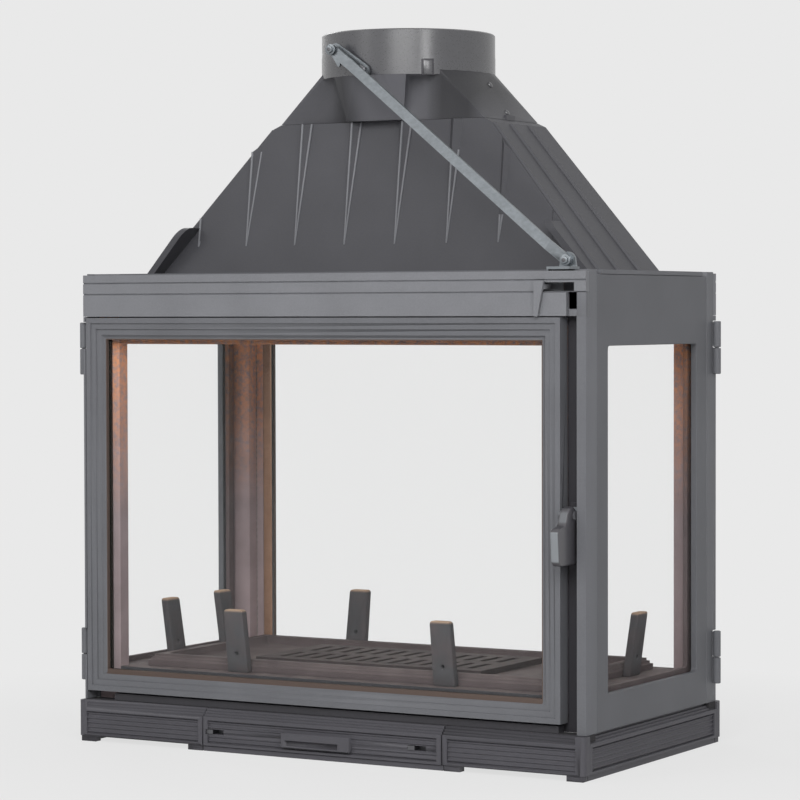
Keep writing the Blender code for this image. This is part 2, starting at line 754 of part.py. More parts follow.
def plinth_side_section(name, x_side):
    """Side plinth between the corner posts, standing on a set-back toe."""
    length = 2 * (HALF_DEPTH + PLINTH_FRONT_REACH - PLINTH_THICKNESS - SEAT_GAP)
    middle = (x_side * (HALF_WIDTH + PLINTH_SIDE_REACH), 0)
    heading = math.radians(0 if x_side > 0 else 180)
    section = plinth_bar(name, length, middle, heading, toe=FOOT_HEIGHT)
    return finish_object(section, "anthracite_paint")


def drawer_lip():
    """Bar on the floor under the ash drawer, between the front feet."""
    outer_y = HALF_DEPTH + PLINTH_FRONT_REACH
    half = DRAWER_FRONT_WIDTH / 2 + DRAWER_SIDE_GAP - SEAT_GAP
    lip = block("drawer_lip", (-half, half),
                (-outer_y + PLINTH_BAND_HEIGHT / 2, -outer_y + PLINTH_THICKNESS),
                (0, FOOT_HEIGHT - SEAT_GAP))
    lip = soften(lip)
    return finish_object(lip, "anthracite_paint")


def plinths():
    plinth_front_section("plinth_front_left", -1)
    plinth_front_section("plinth_front_right", 1)
    plinth_rear_section()
    plinth_side_section("plinth_left", -1)
    plinth_side_section("plinth_right", 1)
    drawer_lip()


def air_slot_level():
    panel = (PLINTH_HEIGHT - PLINTH_STEP_COUNT * PLINTH_STEP_HEIGHT
             - PLINTH_BAND_HEIGHT - PLINTH_LOWER_BORDER)
    return FOOT_HEIGHT + PLINTH_LOWER_BORDER + panel / 2


def ash_drawer_front():
    """Drawer front with the plinth's section, a raised grip and two air slots."""
    outer_y = HALF_DEPTH + PLINTH_FRONT_REACH
    front = plinth_bar("ash_drawer_front", DRAWER_FRONT_WIDTH, (0, -outer_y),
                       math.radians(-90))
    grip_bottom = FOOT_HEIGHT + GRIP_RISE
    grip = block("grip", (-GRIP_LEFT, GRIP_RIGHT),
                 (-outer_y - GRIP_RAISE, -outer_y + PLINTH_PANEL_DEPTH + OVERRUN),
                 (grip_bottom, grip_bottom + GRIP_HEIGHT))
    front = join(front, soften(grip))
    slot_left = -GRIP_LEFT + GRIP_SLOT_BORDER
    finger_slot = block("finger_slot", (slot_left, slot_left + GRIP_SLOT_WIDTH),
                        (-outer_y - GRIP_RAISE - OVERRUN,
                         -outer_y - GRIP_RAISE + GRIP_SLOT_DEPTH),
                        (grip_bottom + GRIP_SLOT_RISE,
                         grip_bottom + GRIP_SLOT_RISE + GRIP_SLOT_HEIGHT))
    front = cut(front, finger_slot)
    for middle in (AIR_SLOT_LEFT_X, AIR_SLOT_RIGHT_X):
        level = air_slot_level()
        slot = block("air_slot",
                     (middle - AIR_SLOT_WIDTH / 2, middle + AIR_SLOT_WIDTH / 2),
                     (-outer_y - OVERRUN, -outer_y + PLINTH_THICKNESS + OVERRUN),
                     (level - AIR_SLOT_HEIGHT / 2, level + AIR_SLOT_HEIGHT / 2))
        front = cut(front, slot)
    return finish_object(front, "anthracite_paint")


def air_slide():
    """Strip behind the drawer front: a stud through each air slot and one port."""
    outer_y = HALF_DEPTH + PLINTH_FRONT_REACH
    back = -outer_y + PLINTH_THICKNESS + SEAT_GAP
    level = air_slot_level()
    reach = AIR_SLOT_WIDTH / 2
    strip = block("air_slide", (AIR_SLOT_LEFT_X - reach, AIR_SLOT_RIGHT_X + reach),
                  (back, back + AIR_SLIDE_THICKNESS),
                  (level - AIR_SLIDE_HEIGHT / 2, level + AIR_SLIDE_HEIGHT / 2))
    height = AIR_SLOT_HEIGHT / 2 - AIR_STUD_MARGIN
    for middle in (AIR_SLOT_LEFT_X, AIR_SLOT_RIGHT_X):
        left = middle - AIR_SLOT_WIDTH / 2 + AIR_STUD_MARGIN
        stud = block("stud", (left, left + AIR_STUD_WIDTH),
                     (-outer_y + PLINTH_PANEL_DEPTH - AIR_STUD_PROUD,
                      back + AIR_SLIDE_THICKNESS / 2),
                     (level - height, level + height))
        strip = join(strip, stud)
    port_right = AIR_SLOT_RIGHT_X - reach - AIR_PORT_MARGIN
    port = block("port", (port_right - AIR_PORT_WIDTH, port_right),
                 (back - OVERRUN, back + AIR_SLIDE_THICKNESS + OVERRUN),
                 (level - AIR_SLOT_HEIGHT / 2, level + AIR_SLOT_HEIGHT / 2))
    strip = cut(strip, port)
    return finish_object(strip, "dark_steel")


def ash_pan():
    """Open sheet pan behind the drawer front, hung by its rim on the runners."""
    half = ASH_PAN_WIDTH / 2
    wall = ASH_PAN_WALL
    rim = half + ASH_PAN_RIM
    top = PLINTH_TOP - ASH_PAN_TOP_CLEARANCE
    bottom = top - ASH_PAN_HEIGHT
    front = (-HALF_DEPTH - PLINTH_FRONT_REACH + PLINTH_THICKNESS + AIR_SLIDE_THICKNESS
             + 2 * SEAT_GAP)
    rear = front + ASH_PAN_LENGTH
    edge = top + wall / 2
    bm = bmesh.new()
    bmesh.ops.create_cube(bm, size=1)
    bmesh.ops.scale(bm, vec=(ASH_PAN_WIDTH, ASH_PAN_LENGTH, edge - bottom),
                    verts=bm.verts)
    face = front_face(bm, Vector((0, 0, 1)))
    for inset, depth in ((wall, 0), (0, edge - bottom - wall)):
        bm.normal_update()
        face = sink_face(bm, face, inset, depth)
    pan = add_object("ash_pan", mesh_from(bm, "ash_pan"),
                     (0, (front + rear) / 2, (bottom + edge) / 2))
    for x_side in (-1, 1):
        flange = block("flange", sorted((x_side * (half - wall / 2), x_side * rim)),
                       (front + wall, rear - wall), (top - wall, top))
        pan = join(pan, flange)
    return finish_object(pan, "dark_steel")


def drawer_runner(name, x_side):
    """Angle rail hung under the deck, whose lip carries the rim of the ash pan."""
    half = ASH_PAN_WIDTH / 2
    rim = half + ASH_PAN_RIM
    lip_top = PLINTH_TOP - ASH_PAN_TOP_CLEARANCE - ASH_PAN_WALL - SEAT_GAP
    lip_bottom = lip_top - RUNNER_THICKNESS
    deck = BASE_TOP - BASE_DECK_THICKNESS - SEAT_GAP
    inner = half + RUNNING_GAP
    web = rim + RUNNING_GAP
    outline = [(inner, lip_bottom), (web + RUNNER_THICKNESS, lip_bottom),
               (web + RUNNER_THICKNESS, deck), (web, deck), (web, lip_top),
               (inner, lip_top)]
    if x_side < 0:
        outline = [(-u, v) for u, v in reversed(outline)]
    length = 2 * (COLUMN_INNER_FACE - CASTING_WALL - SEAT_GAP)
    rail = outline_plate(name, [outline], length, (0, 0, 0), 0)
    return finish_object(rail, "dark_steel")


def ash_drawer():
    ash_drawer_front()
    air_slide()
    ash_pan()
    drawer_runner("drawer_runner_left", -1)
    drawer_runner("drawer_runner_right", 1)


def base_casting():
    """Firebox floor: a deck on two walls with outer flanges and the ash opening."""
    wall_out = COLUMN_INNER_FACE
    wall_in = wall_out - CASTING_WALL
    toe = wall_out + BASE_FLANGE_REACH
    deck = BASE_TOP - BASE_DECK_THICKNESS
    right = [(wall_in, deck), (wall_in, BODY_BOTTOM), (toe, BODY_BOTTOM),
             (toe, FLANGE_TOP), (wall_out, FLANGE_TOP), (wall_out, BASE_TOP)]
    outline = right + [(-u, v) for u, v in reversed(right)]
    length = 2 * (SIDE_INNER_X - SEAT_GAP)
    base = outline_plate("base_casting", [outline], length, (0, 0, 0), math.radians(90))
    notch_x = HALF_WIDTH - COLUMN_INNER_REACH - SEAT_GAP
    notch_y = COLUMN_REAR_FACE - SEAT_GAP
    for x_side in (-1, 1):
        for y_side in (-1, 1):
            notch = block("notch", sorted((x_side * notch_x, x_side * HALF_WIDTH)),
                          sorted((y_side * notch_y, y_side * HALF_DEPTH)),
                          (BODY_BOTTOM - OVERRUN, BASE_TOP + OVERRUN))
            base = cut(base, notch)
    opening = block("ash_opening", (-ASH_OPENING_WIDTH / 2, ASH_OPENING_WIDTH / 2),
                    (-ASH_OPENING_DEPTH / 2, ASH_OPENING_DEPTH / 2),
                    (deck - OVERRUN, BASE_TOP + OVERRUN))
    base = cut(base, opening)
    return finish_object(base, "bare_cast_iron")


def hinge_levels():
    """Heights of the body knuckle and the door knuckle of the two hinges."""
    pitch = KNUCKLE_LENGTH + KNUCKLE_GAP
    upper_door = DOOR_TOP - HINGE_UPPER_DROP - KNUCKLE_LENGTH
    lower_body = DOOR_BOTTOM + HINGE_LOWER_RISE
    return ((upper_door - pitch, upper_door), (lower_body, lower_body + pitch))


def knuckle(name, bottom, neck_end):
    """Round hinge knuckle on the hinge line with a neck to what carries it."""
    top = bottom + KNUCKLE_LENGTH
    barrel = rod(name, KNUCKLE_RADIUS, (HINGE_X, HINGE_Y, bottom),
                 (HINGE_X, HINGE_Y, top))
    half = HINGE_NECK_THICKNESS / 2
    neck = block("neck", sorted((HINGE_X, neck_end)), (HINGE_Y - half, HINGE_Y + half),
                 (bottom + 2 * EDGE_SOFTENING, top - 2 * EDGE_SOFTENING))
    return join(soften(barrel, angle=60), neck)


def pin_bore(bottom):
    return rod("pin_bore", HINGE_PIN_RADIUS + SEAT_GAP,
               (HINGE_X, HINGE_Y, bottom - OVERRUN),
               (HINGE_X, HINGE_Y, bottom + KNUCKLE_LENGTH + OVERRUN), 16)


def column(name, x_side, face):
    """Corner column with a face strip, a door seat and a lap behind the side panel."""
    outer = HALF_WIDTH
    lap = outer - COLUMN_SIDE_LAP
    inner = outer - COLUMN_INNER_REACH
    front = -HALF_DEPTH
    shoulder = front + COLUMN_OUTER_DEPTH
    outline = [(outer - face, front), (outer, front), (outer, shoulder),
               (lap, shoulder), (lap, -COLUMN_REAR_FACE), (inner, -COLUMN_REAR_FACE),
               (inner, -COLUMN_INNER_FACE), (outer - face, -COLUMN_INNER_FACE)]
    if x_side < 0:
        outline = [(-u, v) for u, v in reversed(outline)]
    post = outline_plate(name, [outline], BODY_HEIGHT,
                         (0, 0, BODY_BOTTOM + BODY_HEIGHT / 2), None)
    head = block("head", (-outer - OVERRUN, outer + OVERRUN),
                 (front - OVERRUN, front + LINTEL_PLATE + SEAT_GAP),
                 (LINTEL_BOTTOM - SEAT_GAP, BODY_TOP + OVERRUN))
    return soften(cut(post, head), EDGE_SOFTENING / 2)


def hinge_column():
    """Left front column with the two body knuckles and notches for the door's necks."""
    post = column("column_front_left", -1, COLUMN_FACE_HINGE)
    for body, door in hinge_levels():
        notch = block("neck_notch", (-HALF_WIDTH - OVERRUN, DOOR_LEFT),
                      (DOOR_FACE_Y - OVERRUN, DOOR_FACE_Y + HINGE_NOTCH_DEPTH),
                      (door - HINGE_NOTCH_MARGIN / 2,
                       door + KNUCKLE_LENGTH + HINGE_NOTCH_MARGIN / 2))
        post = cut(post, notch)
        post = join(post, knuckle("body_knuckle", body,
                                  -HALF_WIDTH + HINGE_NECK_LAP))
        post = cut(post, pin_bore(body))
    return finish_object(post, "anthracite_paint")


def latch_column():
    """Right front column with the catch that the door handle's tail hooks behind."""
    post = column("column_front_right", 1, COLUMN_FACE_LATCH)
    axis_y = DOOR_FACE_Y + HANDLE_AXIS_DEPTH
    catch = block("catch",
                  (DOOR_RIGHT + HANDLE_EDGE_GAP,
                   HALF_WIDTH - COLUMN_FACE_LATCH + HINGE_NECK_LAP),
                  (axis_y + CATCH_NEAR, axis_y + CATCH_NEAR + CATCH_THICKNESS),
                  (HANDLE_AXIS_Z + CATCH_RISE,
                   HANDLE_AXIS_Z + CATCH_RISE + CATCH_HEIGHT))
    post = join(post, catch)
    return finish_object(post, "anthracite_paint")


def columns():
    left = hinge_column()
    right = latch_column()
    turned_copy(left, "column_rear_right", "anthracite_paint")
    turned_copy(right, "column_rear_left", "anthracite_paint")


def lintel_outline():
    """Section of a lintel as depth and height, with two grooves in its face."""
    front = -HALF_DEPTH
    plate = front + LINTEL_PLATE
    seat = -COLUMN_INNER_FACE
    apron_top = PANEL_TOP
    apron_bottom = apron_top - LINTEL_APRON_HEIGHT
    web_top = LINTEL_BOTTOM + LINTEL_WEB_HEIGHT
    half = LINTEL_GROOVE_WIDTH / 2
    upper = LINTEL_TOP - LINTEL_UPPER_BAND
    lower = upper - LINTEL_SECOND_BAND
    outline = [(front, LINTEL_BOTTOM), (seat, LINTEL_BOTTOM), (seat, apron_bottom),
               (seat + CASTING_WALL, apron_bottom), (seat + CASTING_WALL, apron_top),
               (seat, apron_top), (seat, web_top), (plate, web_top),
               (plate, LINTEL_TOP), (front, LINTEL_TOP)]
    for groove in (upper, lower):
        outline += [(front, groove + half), (front + LINTEL_GROOVE_DEPTH, groove),
                    (front, groove - half)]
    return outline


def lintel(name):
    """Header casting over a door: grooved face, web and the apron behind the door."""
    beam = outline_plate(name, [lintel_outline()], BODY_WIDTH, (0, 0, 0),
                         math.radians(90))
    inner = HALF_WIDTH - COLUMN_INNER_REACH - SEAT_GAP
    for x_side, face in ((-1, COLUMN_FACE_HINGE), (1, COLUMN_FACE_LATCH)):
        end = HALF_WIDTH - face - SEAT_GAP
        behind_plate = block("behind_plate",
                             sorted((x_side * end, x_side * (HALF_WIDTH + OVERRUN))),
                             (-HALF_DEPTH + LINTEL_PLATE, 0),
                             (LINTEL_BOTTOM - LINTEL_HEIGHT, BODY_TOP + OVERRUN))
        beam = cut(beam, behind_plate)
        beside_apron = block("beside_apron",
                             sorted((x_side * inner, x_side * (HALF_WIDTH + OVERRUN))),
                             (-COLUMN_INNER_FACE - SEAT_GAP, 0),
                             (LINTEL_BOTTOM - LINTEL_HEIGHT, BODY_TOP + OVERRUN))
        beam = cut(beam, beside_apron)
    return beam


def lever_slot():
    level = LINTEL_TOP - LEVER_SLOT_DROP
    half = LEVER_SLOT_HEIGHT / 2
    return block("lever_slot", (LEVER_SLOT_LEFT, LEVER_SLOT_RIGHT),
                 (-HALF_DEPTH - OVERRUN, -HALF_DEPTH + LINTEL_PLATE + OVERRUN),
                 (level - half, level + half))


def lintels():
    rear = lintel("lintel_plain")
    turned_copy(rear, "lintel_rear", "anthracite_paint")
    bpy.data.objects.remove(rear, do_unlink=True)
    front = cut(lintel("lintel_front"), lever_slot())
    finish_object(front, "anthracite_paint")


def window_levels():
    bottom = BODY_BOTTOM + SIDE_WINDOW_SILL
    return bottom, bottom + SIDE_WINDOW_HEIGHT


def side_panel(name, x_side):
    """Side casting with its window and the inner ledge for the smoke baffle."""
    half = SIDE_PANEL_HALF
    bottom, top = window_levels()
    outer = rectangle((-half, half), (BODY_BOTTOM, PANEL_TOP))
    window = rounded_rectangle(SIDE_WINDOW_DEPTH / 2, SIDE_WINDOW_HEIGHT / 2,
                               SIDE_WINDOW_RADIUS, 0, (bottom + top) / 2)
    middle = x_side * (SIDE_INNER_X + CASTING_WALL / 2)
    panel = outline_plate(name, [outer, window], CASTING_WALL, (middle, 0, 0),
                          math.radians(90))
    panel = soften(panel)
    ledge_top = PANEL_TOP - BAFFLE_LEDGE_DROP
    ledge = block("ledge",
                  sorted((x_side * (SIDE_INNER_X - BAFFLE_LEDGE_REACH),
                          x_side * (SIDE_INNER_X + CASTING_WALL / 2))),
                  (-BAFFLE_LEDGE_DEPTH / 2, BAFFLE_LEDGE_DEPTH / 2),
                  (ledge_top - BAFFLE_LEDGE_HEIGHT, ledge_top))
    panel = join(panel, ledge)
    return finish_object(panel, "anthracite_paint")


def side_glass(name, x_side):
    """Pane that stands on the deck behind a side window."""
    bottom, top = window_levels()
    outer = SIDE_INNER_X - SEAT_GAP
    half = SIDE_WINDOW_DEPTH / 2 + SIDE_GLASS_LAP
    pane = block(name, sorted((x_side * outer, x_side * (outer - SIDE_GLASS_THICKNESS))),
                 (-half, half), (BASE_TOP + SEAT_GAP, top + SIDE_GLASS_HEAD))
    return finish_object(pane, "ceramic_glass")


def side_retainer(name, x_side):
    """Inner frame that holds a side pane against its panel."""
    bottom, top = window_levels()
    face = SIDE_INNER_X - 2 * SEAT_GAP - SIDE_GLASS_THICKNESS
    half = SIDE_WINDOW_DEPTH / 2 + SIDE_GLASS_LAP + SIDE_GLASS_HEAD / 2
    low = BASE_TOP + SEAT_GAP
    high = top + SIDE_GLASS_HEAD + SIDE_GLASS_LAP / 2
    border = SIDE_RETAINER_BORDER
    outer = rectangle((-half, half), (low, high))
    inner = rounded_rectangle(half - border, (high - low) / 2 - border / 2,
                              SIDE_WINDOW_RADIUS, 0, (high + low) / 2)
    middle = x_side * (face - SIDE_RETAINER_THICKNESS / 2)
    frame = outline_plate(name, [outer, inner], SIDE_RETAINER_THICKNESS,
                          (middle, 0, 0), math.radians(90))
    return finish_object(frame, "bare_cast_iron")


def sides():
    for side, x_side in (("left", -1), ("right", 1)):
        side_panel("side_panel_" + side, x_side)
        side_glass("side_glass_" + side, x_side)
        side_retainer("side_glass_retainer_" + side, x_side)


def top_plate():
    """Plate over the firebox with the smoke opening under the hood."""
    long_x = HALF_WIDTH
    short_x = HALF_WIDTH - COLUMN_INNER_REACH - SEAT_GAP
    short_y = COLUMN_REAR_FACE - SEAT_GAP
    long_y = COLUMN_INNER_FACE - SEAT_GAP
    outline = [(long_x, -short_y), (long_x, short_y), (short_x, short_y),
               (short_x, long_y), (-short_x, long_y), (-short_x, short_y),
               (-long_x, short_y), (-long_x, -short_y), (-short_x, -short_y),
               (-short_x, -long_y), (short_x, -long_y), (short_x, -short_y)]
    opening = rectangle((-SMOKE_OPENING_WIDTH / 2, SMOKE_OPENING_WIDTH / 2),
                        (-SMOKE_OPENING_FRONT, SMOKE_OPENING_REAR))
    plate = outline_plate("top_plate", [outline, opening], TOP_PLATE_THICKNESS,
                          (0, 0, BODY_TOP - TOP_PLATE_THICKNESS / 2), None)
    return finish_object(plate, "anthracite_paint")


def smoke_baffle():
    """Loose plate that rests on the ledges of the two side panels."""
    bottom = PANEL_TOP - BAFFLE_LEDGE_DROP + SEAT_GAP
    half = SIDE_INNER_X - SIDE_GLASS_THICKNESS
    baffle = block("smoke_baffle", (-half, half), (-BAFFLE_DEPTH / 2, BAFFLE_DEPTH / 2),
                   (bottom, bottom + BAFFLE_THICKNESS))
    return finish_object(soften(baffle), "bare_cast_iron")


def door_frame():
    """Moulded door frame with a rabbet for the glass, two knuckles and a handle stub.

    The hollow down its hinge edge lets the door swing past the column's face strip.
    """
    front_steps = ((DOOR_FLAT, 0), (DOOR_STEP, DOOR_STEP_DEPTH), (DOOR_FLAT, 0),
                   (DOOR_STEP, DOOR_STEP_DEPTH), (DOOR_FLAT, 0),
                   (DOOR_COVE_WIDTH, DOOR_COVE_DEPTH), (DOOR_INNER_FLAT, 0))
    back_steps = ((DOOR_RABBET_BORDER, 0), (0, DOOR_RABBET_DEPTH),
                  (DOOR_BORDER - DOOR_RABBET_BORDER, 0))
    frame = picture_frame("front_door_frame", (DOOR_LEFT, DOOR_RIGHT),
                          (DOOR_FACE_Y, DOOR_BACK_Y), (DOOR_BOTTOM, DOOR_TOP),
                          front_steps, back_steps)
    relief_radius = (math.hypot(HINGE_AXIS_OUT + COLUMN_FACE_HINGE, HINGE_AXIS_DEPTH)
                     + HINGE_RELIEF_GAP)
    relief = rod("relief", relief_radius, (HINGE_X, HINGE_Y, DOOR_BOTTOM - OVERRUN),
                 (HINGE_X, HINGE_Y, DOOR_TOP + OVERRUN), 2 * ARC_POINTS)
    frame = cut(frame, relief)
    neck_end = HINGE_X + relief_radius + HINGE_NECK_LAP
    for body, door in hinge_levels():
        frame = join(frame, knuckle("door_knuckle", door, neck_end))
        frame = cut(frame, pin_bore(door))
    axis_y = DOOR_FACE_Y + HANDLE_AXIS_DEPTH
    stub_end = DOOR_RIGHT + HANDLE_EDGE_GAP + HANDLE_WIDTH + SEAT_GAP
    stub = rod("stub", HANDLE_STUB_RADIUS,
               (DOOR_RIGHT - HINGE_NECK_LAP, axis_y + HANDLE_STUB_RADIUS, HANDLE_AXIS_Z),
               (stub_end, axis_y + HANDLE_STUB_RADIUS, HANDLE_AXIS_Z))
    stub.location.y = axis_y
    frame = join(frame, settle(stub))
    set_origin(frame, (HINGE_X, HINGE_Y, DOOR_BOTTOM))
    return finish_object(frame, "anthracite_paint")


def door_glass():
    """Pane in the rabbet of the door."""
    gap = DOOR_RABBET_BORDER + RUNNING_GAP
    back = DOOR_BACK_Y - DOOR_RABBET_DEPTH + SEAT_GAP
    pane = block("front_door_glass", (DOOR_LEFT + gap, DOOR_RIGHT - gap),
                 (back, back + DOOR_GLASS_THICKNESS), (DOOR_BOTTOM + gap, DOOR_TOP - gap))
    set_origin(pane, (HINGE_X, HINGE_Y, DOOR_BOTTOM))
    return finish_object(pane, "ceramic_glass")


def door_retainer():
    """Steel frame that holds the pane in its rabbet."""
    gap = DOOR_RABBET_BORDER + RUNNING_GAP
    front = (DOOR_BACK_Y - DOOR_RABBET_DEPTH + 2 * SEAT_GAP + DOOR_GLASS_THICKNESS)
    mid_x = (DOOR_LEFT + DOOR_RIGHT) / 2
    mid_z = (DOOR_BOTTOM + DOOR_TOP) / 2
    half_x = DOOR_WIDTH / 2 - gap
    half_z = DOOR_HEIGHT / 2 - gap
    border = DOOR_RETAINER_BORDER
    outer = rectangle((mid_x - half_x, mid_x + half_x), (mid_z - half_z, mid_z + half_z))
    inner = rectangle((mid_x - half_x + border, mid_x + half_x - border),
                      (mid_z - half_z + border, mid_z + half_z - border))
    frame = outline_plate("front_door_retainer", [outer, inner], DOOR_RETAINER_THICKNESS,
                          (0, front + DOOR_RETAINER_THICKNESS / 2, 0), 0)
    set_origin(frame, (HINGE_X, HINGE_Y, DOOR_BOTTOM))
    return finish_object(frame, "dark_steel")


def door_seal():
    """Rope ring round the back of the door, facing its seat."""
    mid_x = (DOOR_LEFT + DOOR_RIGHT) / 2
    mid_z = (DOOR_BOTTOM + DOOR_TOP) / 2
    half_x = DOOR_WIDTH / 2 - DOOR_SEAL_BORDER
    half_z = DOOR_HEIGHT / 2 - DOOR_SEAL_BORDER
    width = DOOR_SEAL_WIDTH
    front = DOOR_BACK_Y + SEAT_GAP
    back = -COLUMN_INNER_FACE - SEAT_GAP
    outer = rounded_rectangle(half_x, half_z, width, mid_x, mid_z)
    inner = rectangle((mid_x - half_x + width, mid_x + half_x - width),
                      (mid_z - half_z + width, mid_z + half_z - width))
    ring = outline_plate("front_door_seal", [outer, inner], back - front,
                         (0, (front + back) / 2, 0), 0)
    set_origin(ring, (HINGE_X, HINGE_Y, DOOR_BOTTOM))
    return finish_object(ring, "glass_fibre_rope")


def door_handle():
    """Hanging handle whose tail hooks behind the catch on the latch column."""
    axis_y = DOOR_FACE_Y + HANDLE_AXIS_DEPTH
    left = DOOR_RIGHT + HANDLE_EDGE_GAP
    right = left + HANDLE_WIDTH
    outline = [(u * HANDLE_REACH, v * HANDLE_DROP) for u, v in HANDLE_OUTLINE_SHARES]
    grip = outline_plate("front_handle", [outline], HANDLE_WIDTH,
                         ((left + right) / 2, axis_y, HANDLE_AXIS_Z), math.radians(90))
    hub = rod("hub", HANDLE_HUB_RADIUS, (left, axis_y, HANDLE_AXIS_Z),
              (right, axis_y, HANDLE_AXIS_Z), 32)
    grip = join(grip, hub)
    tip_near = axis_y + CATCH_NEAR + CATCH_THICKNESS + LATCH_TIP_GAP
    tip_far = tip_near + LATCH_TIP_THICKNESS
    tail = block("tail", (left, right), (axis_y + HANDLE_HUB_RADIUS / 2, tip_far),
                 (HANDLE_AXIS_Z - LATCH_TAIL_DROP, HANDLE_AXIS_Z + LATCH_TAIL_RISE))
    grip = join(grip, tail)
    tip = block("tip", (left, right), (tip_near, tip_far),
                (HANDLE_AXIS_Z - LATCH_TAIL_DROP / 2, HANDLE_AXIS_Z + LATCH_TIP_RISE))
    grip = join(grip, tip)
    grip = soften(grip, angle=40)
    bore = rod("bore", HANDLE_STUB_RADIUS + SEAT_GAP,
               (left - OVERRUN, axis_y, HANDLE_AXIS_Z),
               (right + OVERRUN, axis_y, HANDLE_AXIS_Z))
    grip = cut(grip, bore)
    set_origin(grip, ((left + right) / 2, axis_y, HANDLE_AXIS_Z))
    return finish_object(grip, "anthracite_paint")


def hinge_pins():
    for level, (body, door) in zip(("upper", "lower"), hinge_levels()):
        pin = rod("front_hinge_pin_" + level, HINGE_PIN_RADIUS,
                  (HINGE_X, HINGE_Y, body), (HINGE_X, HINGE_Y, door + KNUCKLE_LENGTH), 16)
        finish_object(pin, "dark_steel")
        turned_copy(pin, "rear_hinge_pin_" + level, "dark_steel")


def doors():
    for piece, finish in ((door_frame(), "anthracite_paint"),
                          (door_glass(), "ceramic_glass"),
                          (door_retainer(), "dark_steel"),
                          (door_seal(), "glass_fibre_rope"),
                          (door_handle(), "anthracite_paint")):
        turned_copy(piece, piece.name.replace("front", "rear"), finish)
    hinge_pins()


def hearth_tray():
    """Tray round the grate with a stepped rim and an opening to the ash pan."""
    step = TRAY_STEP
    rise = TRAY_HEIGHT / (TRAY_STEP_COUNT + 1)
    bottom = BASE_TOP + SEAT_GAP
    bm = bmesh.new()
    bmesh.ops.create_cube(bm, size=1)
    bmesh.ops.scale(bm, vec=(TRAY_WIDTH, TRAY_DEPTH, 2 * rise), verts=bm.verts)
    face = front_face(bm, Vector((0, 0, 1)))
    steps = [(step, 0), (0, -rise)] * (TRAY_STEP_COUNT - 1)
    steps += [(TRAY_RIM, 0), (0, TRAY_HEIGHT - TRAY_FLOOR)]
    for inset, depth in steps:
        bm.normal_update()
        face = sink_face(bm, face, inset, depth)
    tray = add_object("hearth_tray", mesh_from(bm, "hearth_tray"), (0, 0, bottom + rise))
    opening = block("grate_opening", (-ASH_OPENING_WIDTH / 2, ASH_OPENING_WIDTH / 2),
                    (-ASH_OPENING_DEPTH / 2, ASH_OPENING_DEPTH / 2),
                    (bottom - OVERRUN, bottom + TRAY_HEIGHT))
    tray = cut(tray, opening)
    return finish_object(tray, "bare_cast_iron")


def fire_grate():
    """Loose slotted grate over the ash opening."""
    bottom = BASE_TOP + TRAY_FLOOR + 2 * SEAT_GAP
    loops = [rectangle((-GRATE_WIDTH / 2, GRATE_WIDTH / 2),
                       (-GRATE_DEPTH / 2, GRATE_DEPTH / 2))]
    pitch = ASH_OPENING_WIDTH / GRATE_SLOT_COUNT
    row = ASH_OPENING_DEPTH / 4
    for slot in range(GRATE_SLOT_COUNT):
        x = (slot - (GRATE_SLOT_COUNT - 1) / 2) * pitch
        for y in (-row, row):
            loops.append(rectangle((x - GRATE_SLOT_WIDTH / 2, x + GRATE_SLOT_WIDTH / 2),
                                   (y - GRATE_SLOT_LENGTH / 2,
                                    y + GRATE_SLOT_LENGTH / 2)))
    grate = outline_plate("fire_grate", loops, GRATE_THICKNESS,
                          (0, 0, bottom + GRATE_THICKNESS / 2), None)
    return finish_object(grate, "bare_cast_iron")


def log_post(name, x, y, heading):
    """Upright log guard that leans outwards, with a hole low in it."""
    bottom = BASE_TOP + SEAT_GAP
    half = POST_WIDTH / 2
    top_radius = POST_TOP_WIDTH / 2
    shoulder = POST_HEIGHT - top_radius
    outline = [(half, 0)]
    for step in range(9):
        angle = math.pi * step / 8
        outline.append((top_radius * math.cos(angle),
                        shoulder + top_radius * math.sin(angle)))
    outline.append((-half, 0))
    hole = circle_points(POST_HOLE_RADIUS, 0, POST_HOLE_RISE, 12)
    post = outline_plate("post", [outline, hole], POST_THICKNESS, (0, 0, 0), 0)
    lean = Matrix.Identity(4)
    lean[1][2] = -POST_LEAN / POST_HEIGHT
    post.data.transform(lean)
    post = soften(post, angle=60)
    post.data.transform(Matrix.Rotation(heading, 4, "Z"))
    post.name = name
    post.location = (x, y, bottom)
    bpy.context.view_layer.update()
    return finish_object(post, "bare_cast_iron")


def log_posts():
    front_y = TRAY_DEPTH / 2 + SEAT_GAP + POST_THICKNESS / 2
    side_x = TRAY_WIDTH / 2 + SEAT_GAP + POST_THICKNESS / 2
    log_post("log_post_front_left", -POST_FRONT_X, -front_y, 0)
    log_post("log_post_front_right", POST_FRONT_X, -front_y, 0)
    log_post("log_post_rear_left", -POST_FRONT_X, front_y, math.radians(180))
    log_post("log_post_rear_right", POST_FRONT_X, front_y, math.radians(180))
    log_post("log_post_left_front", -side_x, -POST_SIDE_Y, math.radians(-90))
    log_post("log_post_left_rear", -side_x, POST_SIDE_Y, math.radians(-90))
    log_post("log_post_right_front", side_x, -POST_SIDE_Y, math.radians(90))
    log_post("log_post_right_rear", side_x, POST_SIDE_Y, math.radians(90))


def ring_points(half_x, front, rear, z):
    return [(-half_x, -front, z), (half_x, -front, z), (half_x, rear, z),
            (-half_x, rear, z)]


def hood_face_y(z):
    """Depth of the leaning front of the hood at a height."""
    share = (z - HOOD_BOTTOM) / HOOD_HEIGHT
    return -HOOD_BASE_FRONT + share * (HOOD_BASE_FRONT - HOOD_TOP_FRONT)


